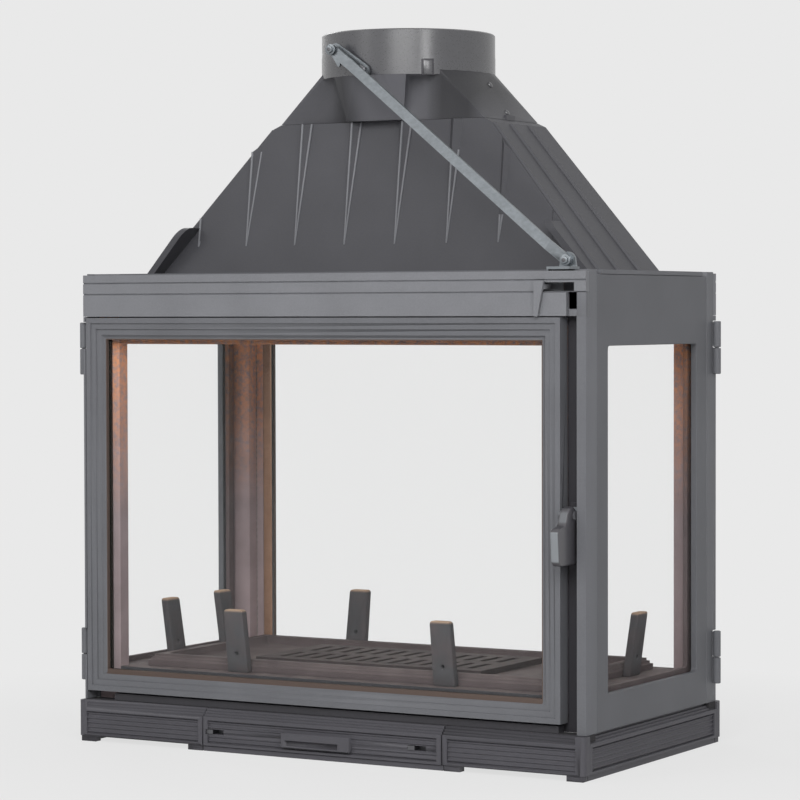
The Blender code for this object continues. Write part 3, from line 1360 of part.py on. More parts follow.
def hood_ribs():
    """Upright ribs on the front of the hood, growing from nothing to their full size."""
    low = HOOD_BOTTOM + HOOD_RIB_RISE
    high = HOOD_TOP
    ribs = None
    for index in range(HOOD_RIB_COUNT):
        x = (index - (HOOD_RIB_COUNT - 1) / 2) * HOOD_RIB_SPACING
        inside = HOOD_WALL / 2
        half = HOOD_RIB_WIDTH / 2
        tip = hood_face_y(low) + HOOD_JOIN_INSET
        points = [(x - HOOD_RIB_TIP, tip, low), (x + HOOD_RIB_TIP, tip, low),
                  (x, hood_face_y(low) + inside, low),
                  (x - half, hood_face_y(high), high),
                  (x + half, hood_face_y(high), high),
                  (x - half, hood_face_y(high) + inside, high),
                  (x + half, hood_face_y(high) + inside, high),
                  (x, hood_face_y(high) - HOOD_RIB_PROUD, high)]
        rib = hull("rib", points)
        ribs = join(ribs, rib) if ribs else rib
    inset = HOOD_JOIN_INSET
    base = HOOD_BASE_WIDTH / 2 - inset
    shoulder = HOOD_SHOULDER_WIDTH / 2 - inset
    top = HOOD_TOP_WIDTH / 2 - inset
    outline = [(-base, HOOD_BOTTOM), (base, HOOD_BOTTOM),
               (shoulder, HOOD_TOP - HOOD_SHOULDER_DROP), (top, HOOD_TOP - inset),
               (-top, HOOD_TOP - inset), (-shoulder, HOOD_TOP - HOOD_SHOULDER_DROP)]
    limit = outline_plate("rib_limit", [outline], 2 * BODY_DEPTH, (0, 0, 0), 0)
    return keep_inside(ribs, limit)


def hood_slope():
    """Run of the hood's side for each unit of its height."""
    return ((HOOD_BASE_WIDTH - HOOD_SHOULDER_WIDTH) / 2
            / (HOOD_HEIGHT - HOOD_SHOULDER_DROP))


def hood_cheek(x_side):
    """Lug beside the hood's front, in the plane of its sloping side."""
    slope = hood_slope()
    thickness = CHEEK_THICKNESS * math.hypot(1, slope)
    front = -HOOD_BASE_FRONT - CHEEK_REACH
    radius = CHEEK_RADIUS
    outline = [(front, 0)]
    for step in range(7):
        angle = math.radians(180 - 90 * step / 6)
        outline.append((front + radius + radius * math.cos(angle),
                        CHEEK_HEIGHT - radius + radius * math.sin(angle)))
    outline += [(-HOOD_TOP_FRONT, CHEEK_HEIGHT), (-HOOD_TOP_FRONT, 0)]
    cheek = outline_plate("cheek", [outline], thickness, (0, 0, 0), math.radians(90))
    shear = Matrix.Identity(4)
    shear[0][2] = -x_side * slope
    cheek.data.transform(shear)
    middle = HOOD_BASE_WIDTH / 2 - thickness / 2 - HOOD_JOIN_INSET
    cheek.location = (x_side * middle, 0, HOOD_BOTTOM + HOOD_JOIN_INSET)
    bpy.context.view_layer.update()
    return cheek


def hood_side_ridge(x_side, share):
    """Narrow ridge down the sloping side, at a share of the depth from the front."""
    half = HOOD_SIDE_RIB_WIDTH / 2
    high = HOOD_TOP - HOOD_SHOULDER_DROP
    base_y = -HOOD_BASE_FRONT + share * (HOOD_BASE_FRONT + HOOD_REAR)
    top_y = hood_face_y(high) + share * (HOOD_REAR - hood_face_y(high))
    points = []
    for x, y, z in ((HOOD_BASE_WIDTH / 2, base_y, HOOD_BOTTOM + HOOD_JOIN_INSET),
                    (HOOD_SHOULDER_WIDTH / 2, top_y, high - HOOD_JOIN_INSET)):
        points += [(x_side * (x - HOOD_WALL), y - half, z),
                   (x_side * (x - HOOD_WALL), y + half, z),
                   (x_side * x, y - half, z), (x_side * x, y + half, z),
                   (x_side * (x + HOOD_SIDE_RIB_PROUD), y - half / 2, z),
                   (x_side * (x + HOOD_SIDE_RIB_PROUD), y + half / 2, z)]
    return hull("side_ridge", points)


def hood():
    """Smoke hood: a leaning pyramid shell with front ribs, side ridges and lugs."""
    shoulder_z = HOOD_TOP - HOOD_SHOULDER_DROP
    shell = hull("hood", ring_points(HOOD_BASE_WIDTH / 2, HOOD_BASE_FRONT, HOOD_REAR,
                                     HOOD_BOTTOM)
                 + ring_points(HOOD_SHOULDER_WIDTH / 2, -hood_face_y(shoulder_z),
                               HOOD_REAR, shoulder_z)
                 + ring_points(HOOD_TOP_WIDTH / 2, HOOD_TOP_FRONT, HOOD_REAR, HOOD_TOP))
    shell = join(shell, hood_ribs())
    for x_side in (-1, 1):
        shell = join(shell, hood_cheek(x_side))
        for share in SIDE_RIDGE_SHARES:
            shell = join(shell, hood_side_ridge(x_side, share))
    side_wall = HOOD_WALL * math.hypot(1, hood_slope())
    inside = hull("inside", ring_points(HOOD_BASE_WIDTH / 2 - side_wall,
                                        HOOD_BASE_FRONT - HOOD_WALL,
                                        HOOD_REAR - HOOD_WALL, HOOD_BOTTOM - OVERRUN)
                  + ring_points(HOOD_TOP_WIDTH / 2 - HOOD_WALL,
                                HOOD_TOP_FRONT - HOOD_WALL,
                                HOOD_REAR - HOOD_WALL, HOOD_TOP + OVERRUN))
    shell = cut(shell, inside)
    return finish_object(shell, "anthracite_paint")


def flat_sided_circle(radius, front, rear):
    """Circle round the flue, cut off at the front and the rear."""
    points = []
    for step in range(ARC_POINTS):
        angle = math.tau * (step + 0.5) / ARC_POINTS
        x = radius * math.cos(angle)
        y = FLUE_CENTRE_Y + radius * math.sin(angle)
        points.append((x, min(max(y, front), rear)))
    for limit in (front, rear):
        reach = math.sqrt(radius ** 2 - (limit - FLUE_CENTRE_Y) ** 2)
        points += [(-reach, limit), (reach, limit)]
    kept = [point for point in points
            if math.hypot(point[0], point[1] - FLUE_CENTRE_Y) > radius * ON_CIRCLE_SHARE]
    return kept


def flue_chin(y_side):
    """Swelling under the collar that carries one end of the damper shaft."""
    face = -HOOD_TOP_FRONT if y_side < 0 else HOOD_REAR
    high = FLUE_BOX_SHELF + FLUE_BAND_HEIGHT / 2
    radius = COLLAR_OUTER_RADIUS
    points = []
    for step in range(9):
        x = (step / 4 - 1) * CHIN_TOP_WIDTH / 2
        y = FLUE_CENTRE_Y + y_side * math.sqrt(radius ** 2 - x ** 2)
        points += [(x, y, high), (x, y, FLUE_BOX_SHELF)]
    for x in (-CHIN_FOOT_WIDTH / 2, CHIN_FOOT_WIDTH / 2):
        points.append((x, face + y_side * CHIN_FOOT_OUT, FLUE_BOX_BOTTOM))
        points.append((x, face - y_side * HOOD_WALL / 2, FLUE_BOX_BOTTOM))
        points.append((x, face - y_side * HOOD_WALL / 2, high))
    return hull("chin", points)


def flue_box():
    """Transition from the hood's slot to the round collar, with the damper's bores."""
    lap = FLUE_BAND_HEIGHT / 2
    low = ring_points(HOOD_TOP_WIDTH / 2, HOOD_TOP_FRONT, HOOD_REAR, FLUE_BOX_BOTTOM)
    arc = [(x, y, FLUE_BOX_SHELF + lap)
           for x, y in flat_sided_circle(COLLAR_OUTER_RADIUS, -HOOD_TOP_FRONT, HOOD_REAR)]
    box = hull("flue_box", low + arc)
    band = rod("band", COLLAR_OUTER_RADIUS, (0, FLUE_CENTRE_Y, FLUE_BOX_SHELF),
               (0, FLUE_CENTRE_Y, FLUE_BOX_TOP), 2 * ARC_POINTS)
    box = join(box, band)
    for y_side in (-1, 1):
        box = join(box, flue_chin(y_side))
    for x_side in (-1, 1):
        edge = HOOD_TOP_WIDTH / 2
        lug = block("lug", sorted((x_side * (edge - FLUE_LUG_REACH), x_side * edge)),
                    (FLUE_CENTRE_Y - FLUE_LUG_WIDTH / 2,
                     FLUE_CENTRE_Y + FLUE_LUG_WIDTH / 2),
                    (FLUE_BOX_BOTTOM, FLUE_BOX_BOTTOM + FLUE_LUG_THICKNESS))
        box = join(box, lug)
    front = -HOOD_TOP_FRONT + HOOD_WALL
    rear = HOOD_REAR - HOOD_WALL
    section = flat_sided_circle(COLLAR_BORE_RADIUS, front, rear)
    inner_low = ring_points(HOOD_TOP_WIDTH / 2 - HOOD_WALL, -front, rear,
                            FLUE_BOX_BOTTOM - OVERRUN)
    inside = hull("inside", inner_low + [(x, y, FLUE_BOX_SHELF) for x, y in section])
    box = cut(box, inside)
    throat = hull("throat", [(x, y, z) for x, y in section
                             for z in (FLUE_BOX_SHELF - OVERRUN, FLUE_BOX_TOP + OVERRUN)])
    box = cut(box, throat)
    bore = rod("bore", DAMPER_SHAFT_RADIUS + SEAT_GAP, (0, -HALF_DEPTH, DAMPER_Z),
               (0, HALF_DEPTH, DAMPER_Z))
    box = cut(box, bore)
    return finish_object(box, "anthracite_paint")


def flue_collar():
    """Round socket for the flue pipe, turned from its section."""
    outer = COLLAR_OUTER_RADIUS
    bore = COLLAR_BORE_RADIUS
    edge = COLLAR_EDGE
    section = [(outer - edge, COLLAR_HEIGHT), (outer, COLLAR_HEIGHT - edge), (outer, 0),
               (bore, 0), (bore, COLLAR_HEIGHT - edge), (bore + edge, COLLAR_HEIGHT)]
    bm = bmesh.new()
    verts = [bm.verts.new((x, 0, z)) for x, z in section]
    for index, vert in enumerate(verts):
        bm.edges.new((vert, verts[(index + 1) % len(verts)]))
    mesh = bpy.data.meshes.new("flue_collar")
    bm.to_mesh(mesh)
    bm.free()
    ring = add_object("flue_collar", mesh, (0, FLUE_CENTRE_Y, COLLAR_BOTTOM))
    screw = ring.modifiers.new("turn", "SCREW")
    screw.steps = 2 * ARC_POINTS
    screw.render_steps = 2 * ARC_POINTS
    screw.use_merge_vertices = True
    screw.merge_threshold = WELD_DISTANCE
    screw.use_normal_calculate = True
    bpy.context.view_layer.update()
    return finish_object(settle(ring), "anthracite_paint")


def damper_shaft():
    """Shaft through both chins of the flue box, with the nut that holds the crank."""
    front = FLUE_CENTRE_Y - COLLAR_OUTER_RADIUS - DAMPER_FRONT_REACH
    rear = FLUE_CENTRE_Y + COLLAR_OUTER_RADIUS + DAMPER_REAR_REACH
    shaft = rod("damper_shaft", DAMPER_SHAFT_RADIUS, (0, front, DAMPER_Z),
                (0, rear, DAMPER_Z))
    nut_back = (FLUE_CENTRE_Y - COLLAR_OUTER_RADIUS - CRANK_STANDOFF - CRANK_THICKNESS
                - SEAT_GAP)
    nut = rod("nut", DAMPER_NUT_RADIUS, (0, nut_back - DAMPER_NUT_HEIGHT, DAMPER_Z),
              (0, nut_back, DAMPER_Z), 6)
    shaft = join(shaft, nut)
    set_origin(shaft, (0, FLUE_CENTRE_Y, DAMPER_Z))
    return finish_object(shaft, "zinc_plate")


def damper_flap():
    """Butterfly plate on the shaft, lying flat across the throat when shut."""
    gap = DAMPER_FLAP_CLEARANCE
    front = -HOOD_TOP_FRONT + HOOD_WALL + gap
    rear = HOOD_REAR - HOOD_WALL - gap
    section = flat_sided_circle(COLLAR_BORE_RADIUS - gap, front, rear)
    half = DAMPER_FLAP_THICKNESS / 2
    flap = hull("damper_flap", [(x, y, DAMPER_Z + z) for x, y in section
                                for z in (-half, half)])
    hub = rod("hub", DAMPER_HUB_RADIUS, (0, front, DAMPER_Z), (0, rear, DAMPER_Z))
    flap = join(flap, hub)
    bore = rod("bore", DAMPER_SHAFT_RADIUS + SEAT_GAP, (0, -HALF_DEPTH, DAMPER_Z),
               (0, HALF_DEPTH, DAMPER_Z))
    flap = cut(flap, bore)
    set_origin(flap, (0, FLUE_CENTRE_Y, DAMPER_Z))
    return finish_object(flap, "bare_cast_iron")


def crank_planes():
    """Back and front of the crank, and of the tie bar's upper end."""
    back = FLUE_CENTRE_Y - COLLAR_OUTER_RADIUS - CRANK_STANDOFF
    front = back - CRANK_THICKNESS
    shaft_end = FLUE_CENTRE_Y - COLLAR_OUTER_RADIUS - DAMPER_FRONT_REACH
    bar_back = shaft_end - TIE_BAR_FRONT_GAP
    return back, front, bar_back, bar_back - TIE_BAR_THICKNESS


def link(name, circles, y):
    """Flat link that wraps a row of circles given as x, z and radius."""
    points = []
    for x, z, radius in circles:
        for u, v in circle_points(radius, x, z, 20):
            points += [(u, y[0], v), (u, y[1], v)]
    return hull(name, points)


def damper_crank():
    """Crank arm on the shaft with its pointed ear and the pin for the tie bar."""
    back, front, bar_back, bar_front = crank_planes()
    pin_x = -CRANK_PIN_X
    pin_z = DAMPER_Z + CRANK_PIN_Z
    arm = link("damper_crank", ((0, DAMPER_Z, CRANK_HUB_RADIUS),
                                (pin_x, pin_z, CRANK_EYE_RADIUS)), (front, back))
    spur = link("spur", ((pin_x, pin_z, CRANK_EYE_RADIUS),
                         (pin_x + CRANK_SPUR_X, pin_z - CRANK_SPUR_Z,
                          CRANK_SPUR_RADIUS)), (front, back))
    arm = join(arm, spur)
    head = bar_front - PIVOT_GAP
    pin = rod("pin", CRANK_PIN_RADIUS, (pin_x, back - CRANK_THICKNESS / 2, pin_z),
              (pin_x, head - CRANK_PIN_HEAD / 2, pin_z), 16)
    arm = join(arm, pin)
    cap = rod("cap", CRANK_PIN_HEAD_RADIUS, (pin_x, head, pin_z),
              (pin_x, head - CRANK_PIN_HEAD, pin_z), 16)
    arm = join(arm, cap)
    bore = rod("bore", DAMPER_SHAFT_RADIUS + SEAT_GAP, (0, back + OVERRUN, DAMPER_Z),
               (0, front - OVERRUN, DAMPER_Z))
    arm = cut(arm, bore)
    set_origin(arm, (0, FLUE_CENTRE_Y, DAMPER_Z))
    return finish_object(arm, "zinc_plate")


def tie_bar():
    """Flat bar from the crank pin down to the lever, set twice to clear the hood."""
    back, front, bar_back, bar_front = crank_planes()
    foot_back = -LEVER_EAR_DEPTH - LEVER_EAR_THICKNESS / 2 - SEAT_GAP
    shift = foot_back - bar_back
    start = Vector((-CRANK_PIN_X, 0, DAMPER_Z + CRANK_PIN_Z))
    end = Vector((LEVER_BOLT_X, 0, BODY_TOP + LEVER_BOLT_Z))
    length = (end - start).length
    tilt = math.atan2(start.z - end.z, end.x - start.x)
    near = [(0, 0), (TIE_BAR_BEND, 0), (length - TIE_BAR_BEND, shift), (length, shift)]
    far = [(u, v - TIE_BAR_THICKNESS) for u, v in reversed(near)]
    bar = outline_plate("tie_bar", [near + far], TIE_BAR_WIDTH, (0, 0, 0), None)
    bar.rotation_euler = (0, tilt, 0)
    bar.location = (start.x, bar_back, start.z)
    bpy.context.view_layer.update()
    bar = settle(bar)
    round_end = TIE_BAR_WIDTH / 2
    for place, face in ((start, bar_back), (end, foot_back)):
        disc = rod("disc", round_end, (place.x, face, place.z),
                   (place.x, face - TIE_BAR_THICKNESS, place.z))
        bar = join(bar, disc)
    hole = rod("hole", CRANK_PIN_RADIUS + PIVOT_GAP,
               (start.x, bar_back + OVERRUN, start.z),
               (start.x, bar_front - OVERRUN, start.z), 16)
    bar = cut(bar, hole)
    foot_front = foot_back - TIE_BAR_THICKNESS
    bolt = rod("bolt", BOLT_HEAD_RADIUS,
               (end.x, foot_front + TIE_BAR_THICKNESS / 2, end.z),
               (end.x, foot_front - BOLT_HEAD_HEIGHT, end.z), 6)
    bar = join(bar, bolt)
    set_origin(bar, (start.x, bar_back, start.z))
    return finish_object(bar, "zinc_plate")


def control_lever():
    """Sliding lever: plate and ear on the top, neck down the channel, tab in front."""
    low = BODY_TOP + SEAT_GAP
    plate_top = low + LEVER_PLATE_THICKNESS
    plate = block("control_lever",
                  (LEVER_PLATE_LEFT, LEVER_PLATE_LEFT + LEVER_PLATE_WIDTH),
                  (-LEVER_PLATE_FRONT, -LEVER_PLATE_REAR), (low, plate_top))
    ear_y = (-LEVER_EAR_DEPTH - LEVER_EAR_THICKNESS / 2,
             -LEVER_EAR_DEPTH + LEVER_EAR_THICKNESS / 2)
    bolt_z = BODY_TOP + LEVER_BOLT_Z
    half = LEVER_EAR_WIDTH / 2
    eye = LEVER_EAR_HEIGHT - LEVER_BOLT_Z
    ear = link("ear", ((LEVER_BOLT_X - half + LEVER_BOLT_RADIUS,
                        low + LEVER_BOLT_RADIUS, LEVER_BOLT_RADIUS),
                       (LEVER_BOLT_X + half - LEVER_BOLT_RADIUS,
                        low + LEVER_BOLT_RADIUS, LEVER_BOLT_RADIUS),
                       (LEVER_BOLT_X, bolt_z, eye)), ear_y)
    lever = join(plate, ear)
    nut = rod("nut", BOLT_HEAD_RADIUS, (LEVER_BOLT_X, ear_y[1] - LEVER_EAR_THICKNESS / 2,
                                        bolt_z),
              (LEVER_BOLT_X, ear_y[1] + BOLT_HEAD_HEIGHT, bolt_z), 6)
    lever = join(lever, nut)
    neck_y = (-LEVER_NECK_DEPTH - LEVER_NECK_THICKNESS / 2,
              -LEVER_NECK_DEPTH + LEVER_NECK_THICKNESS / 2)
    slot_z = LINTEL_TOP - LEVER_SLOT_DROP
    tongue = LEVER_TONGUE_HEIGHT / 2
    neck_x = (LEVER_NECK_X, LEVER_NECK_X + LEVER_NECK_WIDTH)
    neck = block("neck", neck_x, neck_y, (slot_z - tongue, plate_top))
    lever = join(lever, neck)
    tab_back = -HALF_DEPTH - LEVER_TAB_GAP
    tongue_bar = block("tongue", neck_x,
                       (tab_back - LEVER_TAB_THICKNESS / 2, neck_y[1]),
                       (slot_z - tongue, slot_z + tongue))
    lever = join(lever, tongue_bar)
    middle = (neck_x[0] + neck_x[1]) / 2
    foot = DOOR_TOP + LEVER_TAB_FOOT_GAP
    head = slot_z + LEVER_TAB_RISE
    outline = [(middle - LEVER_TAB_FOOT_WIDTH / 2, foot),
               (middle + LEVER_TAB_FOOT_WIDTH / 2, foot),
               (middle + LEVER_TAB_TOP_WIDTH / 2, head),
               (middle - LEVER_TAB_TOP_WIDTH / 2, head)]
    tab = outline_plate("tab", [outline], LEVER_TAB_THICKNESS,
                        (0, tab_back - LEVER_TAB_THICKNESS / 2, 0), 0)
    lever = join(lever, soften(tab))
    return finish_object(lever, "zinc_plate")


def build():
    base_casting()
    plinths()
    ash_drawer()
    columns()
    lintels()
    sides()
    top_plate()
    smoke_baffle()
    doors()
    hearth_tray()
    fire_grate()
    log_posts()
    hood()
    flue_box()
    flue_collar()
    damper_shaft()
    damper_flap()
    damper_crank()
    tie_bar()
    control_lever()


clear_scene()
PARTS = make_collection(COLLECTION_NAME)
CUTTERS = make_collection("cutters")
build()
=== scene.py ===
"""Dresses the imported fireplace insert.

It gives castings, gear and panes their finishes, adds small fittings and sets a plain studio.
"""

import json
import math
from functools import partial

import bmesh
import bpy
from bpy.props import FloatProperty, FloatVectorProperty, PointerProperty
from mathutils import Matrix, Vector

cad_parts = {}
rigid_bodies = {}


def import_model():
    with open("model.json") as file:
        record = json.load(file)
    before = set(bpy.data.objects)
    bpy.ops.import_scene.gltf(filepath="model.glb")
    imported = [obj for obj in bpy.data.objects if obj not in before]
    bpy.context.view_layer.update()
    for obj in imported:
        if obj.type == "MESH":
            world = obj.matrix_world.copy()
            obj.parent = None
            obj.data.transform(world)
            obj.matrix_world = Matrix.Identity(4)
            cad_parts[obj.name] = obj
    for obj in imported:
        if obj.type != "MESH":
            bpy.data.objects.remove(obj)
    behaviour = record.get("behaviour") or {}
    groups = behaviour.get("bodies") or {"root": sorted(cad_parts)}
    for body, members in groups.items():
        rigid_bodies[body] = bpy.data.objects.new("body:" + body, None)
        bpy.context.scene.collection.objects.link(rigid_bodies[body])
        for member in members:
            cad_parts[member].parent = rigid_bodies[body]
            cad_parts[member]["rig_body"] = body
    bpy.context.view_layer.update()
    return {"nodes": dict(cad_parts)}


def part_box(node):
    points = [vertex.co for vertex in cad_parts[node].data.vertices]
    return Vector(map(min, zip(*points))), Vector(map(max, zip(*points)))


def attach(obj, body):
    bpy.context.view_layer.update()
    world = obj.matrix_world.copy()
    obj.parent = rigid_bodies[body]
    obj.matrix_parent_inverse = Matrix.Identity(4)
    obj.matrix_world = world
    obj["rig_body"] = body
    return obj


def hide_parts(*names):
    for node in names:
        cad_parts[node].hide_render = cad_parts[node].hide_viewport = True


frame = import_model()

bl_info = {
    "name": "Fireplace Insert Dresser",
    "version": (1, 0, 0),
    "blender": (4, 5, 0),
    "location": "3D View > Sidebar > Fireplace insert",
    "description": "Finishes and small fittings for a see-through cast iron fireplace insert",
    "category": "Object",
}

MM = 0.001
MERGE_DISTANCE = 0.02 * MM

# 1 for the front, and -1 for the rear, whose castings are the front's turned half round.
ENDS = {"front": 1, "rear": -1}

# How far the fire has browned the castings: half width and half depth from the middle.
COLUMN_HALF_WIDTH = 341.5 * MM
HINGE_HALF_DEPTH = 159 * MM
LATCH_HALF_DEPTH = 157.5 * MM
SIDE_INSIDE = (337.6 * MM, LATCH_HALF_DEPTH)
DOOR_INSIDE = (330 * MM, 160.5 * MM)
# Where the door rebates are painted dark as the shade in the channel between door and column.
REBATE_SHADE_INSIDE = (342.5 * MM, 179 * MM)
ROOF_HEIGHT = 574.5 * MM
BROW_HEIGHT = 520 * MM
# Rust blooms more and more between these heights.
BLOOM_LOW, BLOOM_HIGH = 280 * MM, 500 * MM
# The darker brown rim round a door's opening, browned iron painted darker in part as shade on the
# reveals, whose hinge side lies further out.
RIM_HEIGHTS = (84.5 * MM, 502.7 * MM)
RIM_FAR, RIM_NEAR = 320.7 * MM, 291.2 * MM
# The tan crest of the log posts: a heat stain with a painted highlight along their lit top edge.
CREST_LOW, CREST_HIGH = 167.5 * MM, 170.5 * MM
BURNT_ROUGHNESS = 0.85
PANE_ALPHA = 0.015


def srgb(code):
    """Linear red, green and blue of an sRGB hex colour."""
    shares = [int(code[i:i + 2], 16) / 255 for i in (1, 3, 5)]
    return tuple(c / 12.92 if c <= 0.04045 else ((c + 0.055) / 1.055) ** 2.4 for c in shares)


# Settings

def colour_setting(name, description, code):
    """Colour property whose default is an sRGB hex colour."""
    return FloatVectorProperty(name=name, description=description, default=srgb(code),
                               subtype="COLOR", size=3, min=0, max=1)


def length_setting(name, description, millimetres):
    """Length property whose default is given in millimetres."""
    return FloatProperty(name=name, description=description, default=millimetres * MM,
                         unit="LENGTH", min=0, precision=4)


class FinishSettings(bpy.types.PropertyGroup):
    """Colours of the insert's finishes."""

    body_paint: colour_setting("Body paint", "Stove paint on columns, doors and sides", "#67686c")
    # Body paint made darker for the side panels, as painted shade on the sides.
    shaded_side_paint: colour_setting("Side paint", "Duller paint of the side panels", "#5f6064")
    lintel_paint: colour_setting("Lintel paint", "Stove paint on the two lintels", "#77787c")
    hood_paint: colour_setting("Hood paint", "Stove paint on the hood", "#48484c")
    flue_paint: colour_setting("Flue paint", "Stove paint on flue box and collar", "#4f4f53")
    collar_paint: colour_setting("Collar paint", "Satin paint of the flue collar", "#3c3c40")
    plinth_paint: colour_setting("Plinth paint", "Stove paint on plinth and drawer", "#4f4e53")
    # A dark paint that stands in for shade in the door rebates and the collar's notch, partly for
    # the shade under the doors on the base, and is the handles' own colour.
    dark_paint_and_rebate_shade: colour_setting("Door rebate", "Smoked paint where the doors close", "#434246")
    # The pane strips are one browned steel in a shaded and a lit copy: the front strips darker as
    # painted shade, the rear ones, tanned by the fire, lighter still as painted light.
    strip_steel_painted_light: colour_setting("Smoked steel", "Strips that hold the door panes", "#3d3530")
    lit_steel: colour_setting("Tanned steel", "Rear pane strips, tanned by the fire", "#a4846f")
    # A darker brown for the rim round the door openings, partly painted shade on their reveals.
    rim_brown_and_shade: colour_setting("Soot", "Smoked rim of the door openings", "#5a4d47")
    # The packing's colour is a painted shadow of the recess between base and plinth.
    packing_shadow: colour_setting("Fire cement", "Packing between base and plinth", "#3b3a3c")
    browned_iron: colour_setting("Browned iron", "Castings inside the firebox", "#5e5455")
    # The crest's tan is partly a heat stain and partly a painted highlight on the posts' lit
    # tops.
    crest: colour_setting("Scorched crest", "Tan tops of the log posts", "#b59a83")
    ash: colour_setting("Ash film", "Fine ash that lies on the hearth", "#736967")
    rust: colour_setting("Rust", "Rust bloom inside the firebox", "#a06c4c")
    zinc: colour_setting("Zinc", "Bright plate on the damper gear", "#8b9094")
    steel: colour_setting("Steel", "Mill finish of pins and shaft", "#6d6d70")
    glass: colour_setting("Glass", "Tint of the heat-resisting panes", "#c8d0cd")
    rope: colour_setting("Rope", "Glass fibre seals", "#9a9892")
    backdrop: colour_setting("Backdrop", "Pale studio background", "#e9e9e9")


class FittingSettings(bpy.types.PropertyGroup):
    """Sizes of the small fittings that the scene adds."""

    post_width: length_setting("Log post width", "Width of a log post at its foot", 29)
    post_thickness: length_setting("Log post thickness", "Thickness of a log post", 10)
    post_corner: length_setting("Log post corner", "Rounding of a log post's top corners", 4)
    post_hole: length_setting("Log post hole", "Radius of the hole low in a log post", 2.4)
    handle_edge: length_setting("Handle edge", "Rounding along the handle's edges", 1.6)
    bolt_across: length_setting("Bolt across corners", "Size of the pivot bolts' heads", 9.5)
    bolt_height: length_setting("Bolt head", "Height of the pivot bolts' heads", 3.2)
    washer_radius: length_setting("Washer", "Radius of the pivot bolts' washers", 6.6)
    notch_width: length_setting("Collar tab width", "Width of the tab on the collar", 11)
    notch_height: length_setting("Collar tab height", "Height of the tab on the collar", 17)
    rivet_radius: length_setting("Rivet", "Radius of the flue box's rivet heads", 4)


# Materials

def add_node(tree, kind, inputs=None, **options):
    """Adds a shader node, sets its options, and fills or links its inputs."""
    made = tree.nodes.new(kind)
    for option, value in options.items():
        setattr(made, option, value)
    for socket, value in (inputs or {}).items():
        if isinstance(value, bpy.types.NodeSocket):
            tree.links.new(value, made.inputs[socket])
        else:
            made.inputs[socket].default_value = value
    return made


def start_material(name):
    """An empty node material, what adds nodes to it, and its Object coordinates."""
    material = bpy.data.materials.new(name)
    material.use_nodes = True
    material.node_tree.nodes.clear()
    add = partial(add_node, material.node_tree)
    return material, add, add("ShaderNodeTexCoord").outputs["Object"]


def rgba(colour, lightness=1.0):
    """Opaque colour, made lighter or darker."""
    return (*(min(1.0, c * lightness) for c in colour), 1.0)


def layered(add, tone, *layers):
    """A tone with colours laid over it, each where its own mask is 1."""
    for mask, colour in layers:
        tone = add("ShaderNodeMix", {0: mask, 6: tone, 7: colour},
                   data_type="RGBA").outputs[2]
    return tone


def drifting(add, pattern, low, high, first, second, most=1.0):
    """Colour that goes from the first to the second as the pattern goes from low to high."""
    share = add("ShaderNodeMapRange", {0: pattern, 1: low, 2: high, 4: most})
    return layered(add, first, (share.outputs[0], second))


def coat(add, tone, roughness, relief, strength, depth, surface):
    """Ends a material with a surface of this tone whose bumps follow the relief."""
    bump = add("ShaderNodeBump", {"Strength": strength, "Distance": depth, "Height": relief})
    shader = add("ShaderNodeBsdfPrincipled", {
        "Base Color": tone, "Roughness": roughness, "Normal": bump.outputs[0], **surface})
    add("ShaderNodeOutputMaterial", {"Surface": shader.outputs[0]})


def box_mask(add, parts, limits):
    """1 where the surface lies between the limits given for each axis, and 0 elsewhere."""
    masks = [add("ShaderNodeMath", {0: parts[axis], 1: limit}, operation=operation).outputs[0]
             for axis, pair in limits.items()
             for limit, operation in zip(pair, ("GREATER_THAN", "LESS_THAN"))]
    whole = masks[0]
    for mask in masks[1:]:
        whole = add("ShaderNodeMath", {0: whole, 1: mask}, operation="MULTIPLY").outputs[0]
    return whole


def firebox_mask(add, parts, half_width, half_depth, roof=ROOF_HEIGHT):
    """1 where the surface lies within the firebox, and 0 outside it."""
    return box_mask(add, parts, {"X": (-half_width, half_width),
                                 "Y": (-half_depth, half_depth), "Z": (-MM, roof)})


def heat_browned(add, place, height, lightness=1.0):
    """Colour of iron that fire has browned: ash on what faces up, rust bloom high up."""
    finishes = bpy.context.scene.insert_finishes
    cloud = add("ShaderNodeTexNoise", {"Vector": place, "Scale": 1 / (30 * MM),
                                       "Detail": 4}).outputs[0]
    speckle = add("ShaderNodeTexNoise", {"Vector": place, "Scale": 1 / (6 * MM),
                                         "Detail": 5, "Roughness": 0.7}).outputs[0]
    upward = add("ShaderNodeSeparateXYZ", {
        0: add("ShaderNodeTexCoord").outputs["Normal"]}).outputs["Z"]
    spreads = {}
    for name, pattern, low, high, most in (
            ("rise", height, BLOOM_LOW, BLOOM_HIGH, 1.0), ("speckle", speckle, 0.34, 0.58, 1.0),
            ("settled", upward, 0.55, 0.9, 0.8), ("drift", cloud, 0.3, 0.6, 1.0)):
        spreads[name] = add("ShaderNodeMapRange",
                            {0: pattern, 1: low, 2: high, 4: most}).outputs[0]
    bloom, ash = (add("ShaderNodeMath", {0: spreads[first], 1: spreads[second]},
                      operation="MULTIPLY").outputs[0]
                  for first, second in (("rise", "speckle"), ("settled", "drift")))
    # Lightness scales the browned iron, painting in light above 1 and shade below 1 inside the
    # firebox.
    return layered(add, rgba(finishes.browned_iron, 0.75 * lightness),
                   (cloud, rgba(finishes.browned_iron, 1.3 * lightness)),
                   (bloom, rgba(finishes.rust, 0.8 * lightness)),
                   (ash, rgba(finishes.ash, min(lightness, 1.0))))


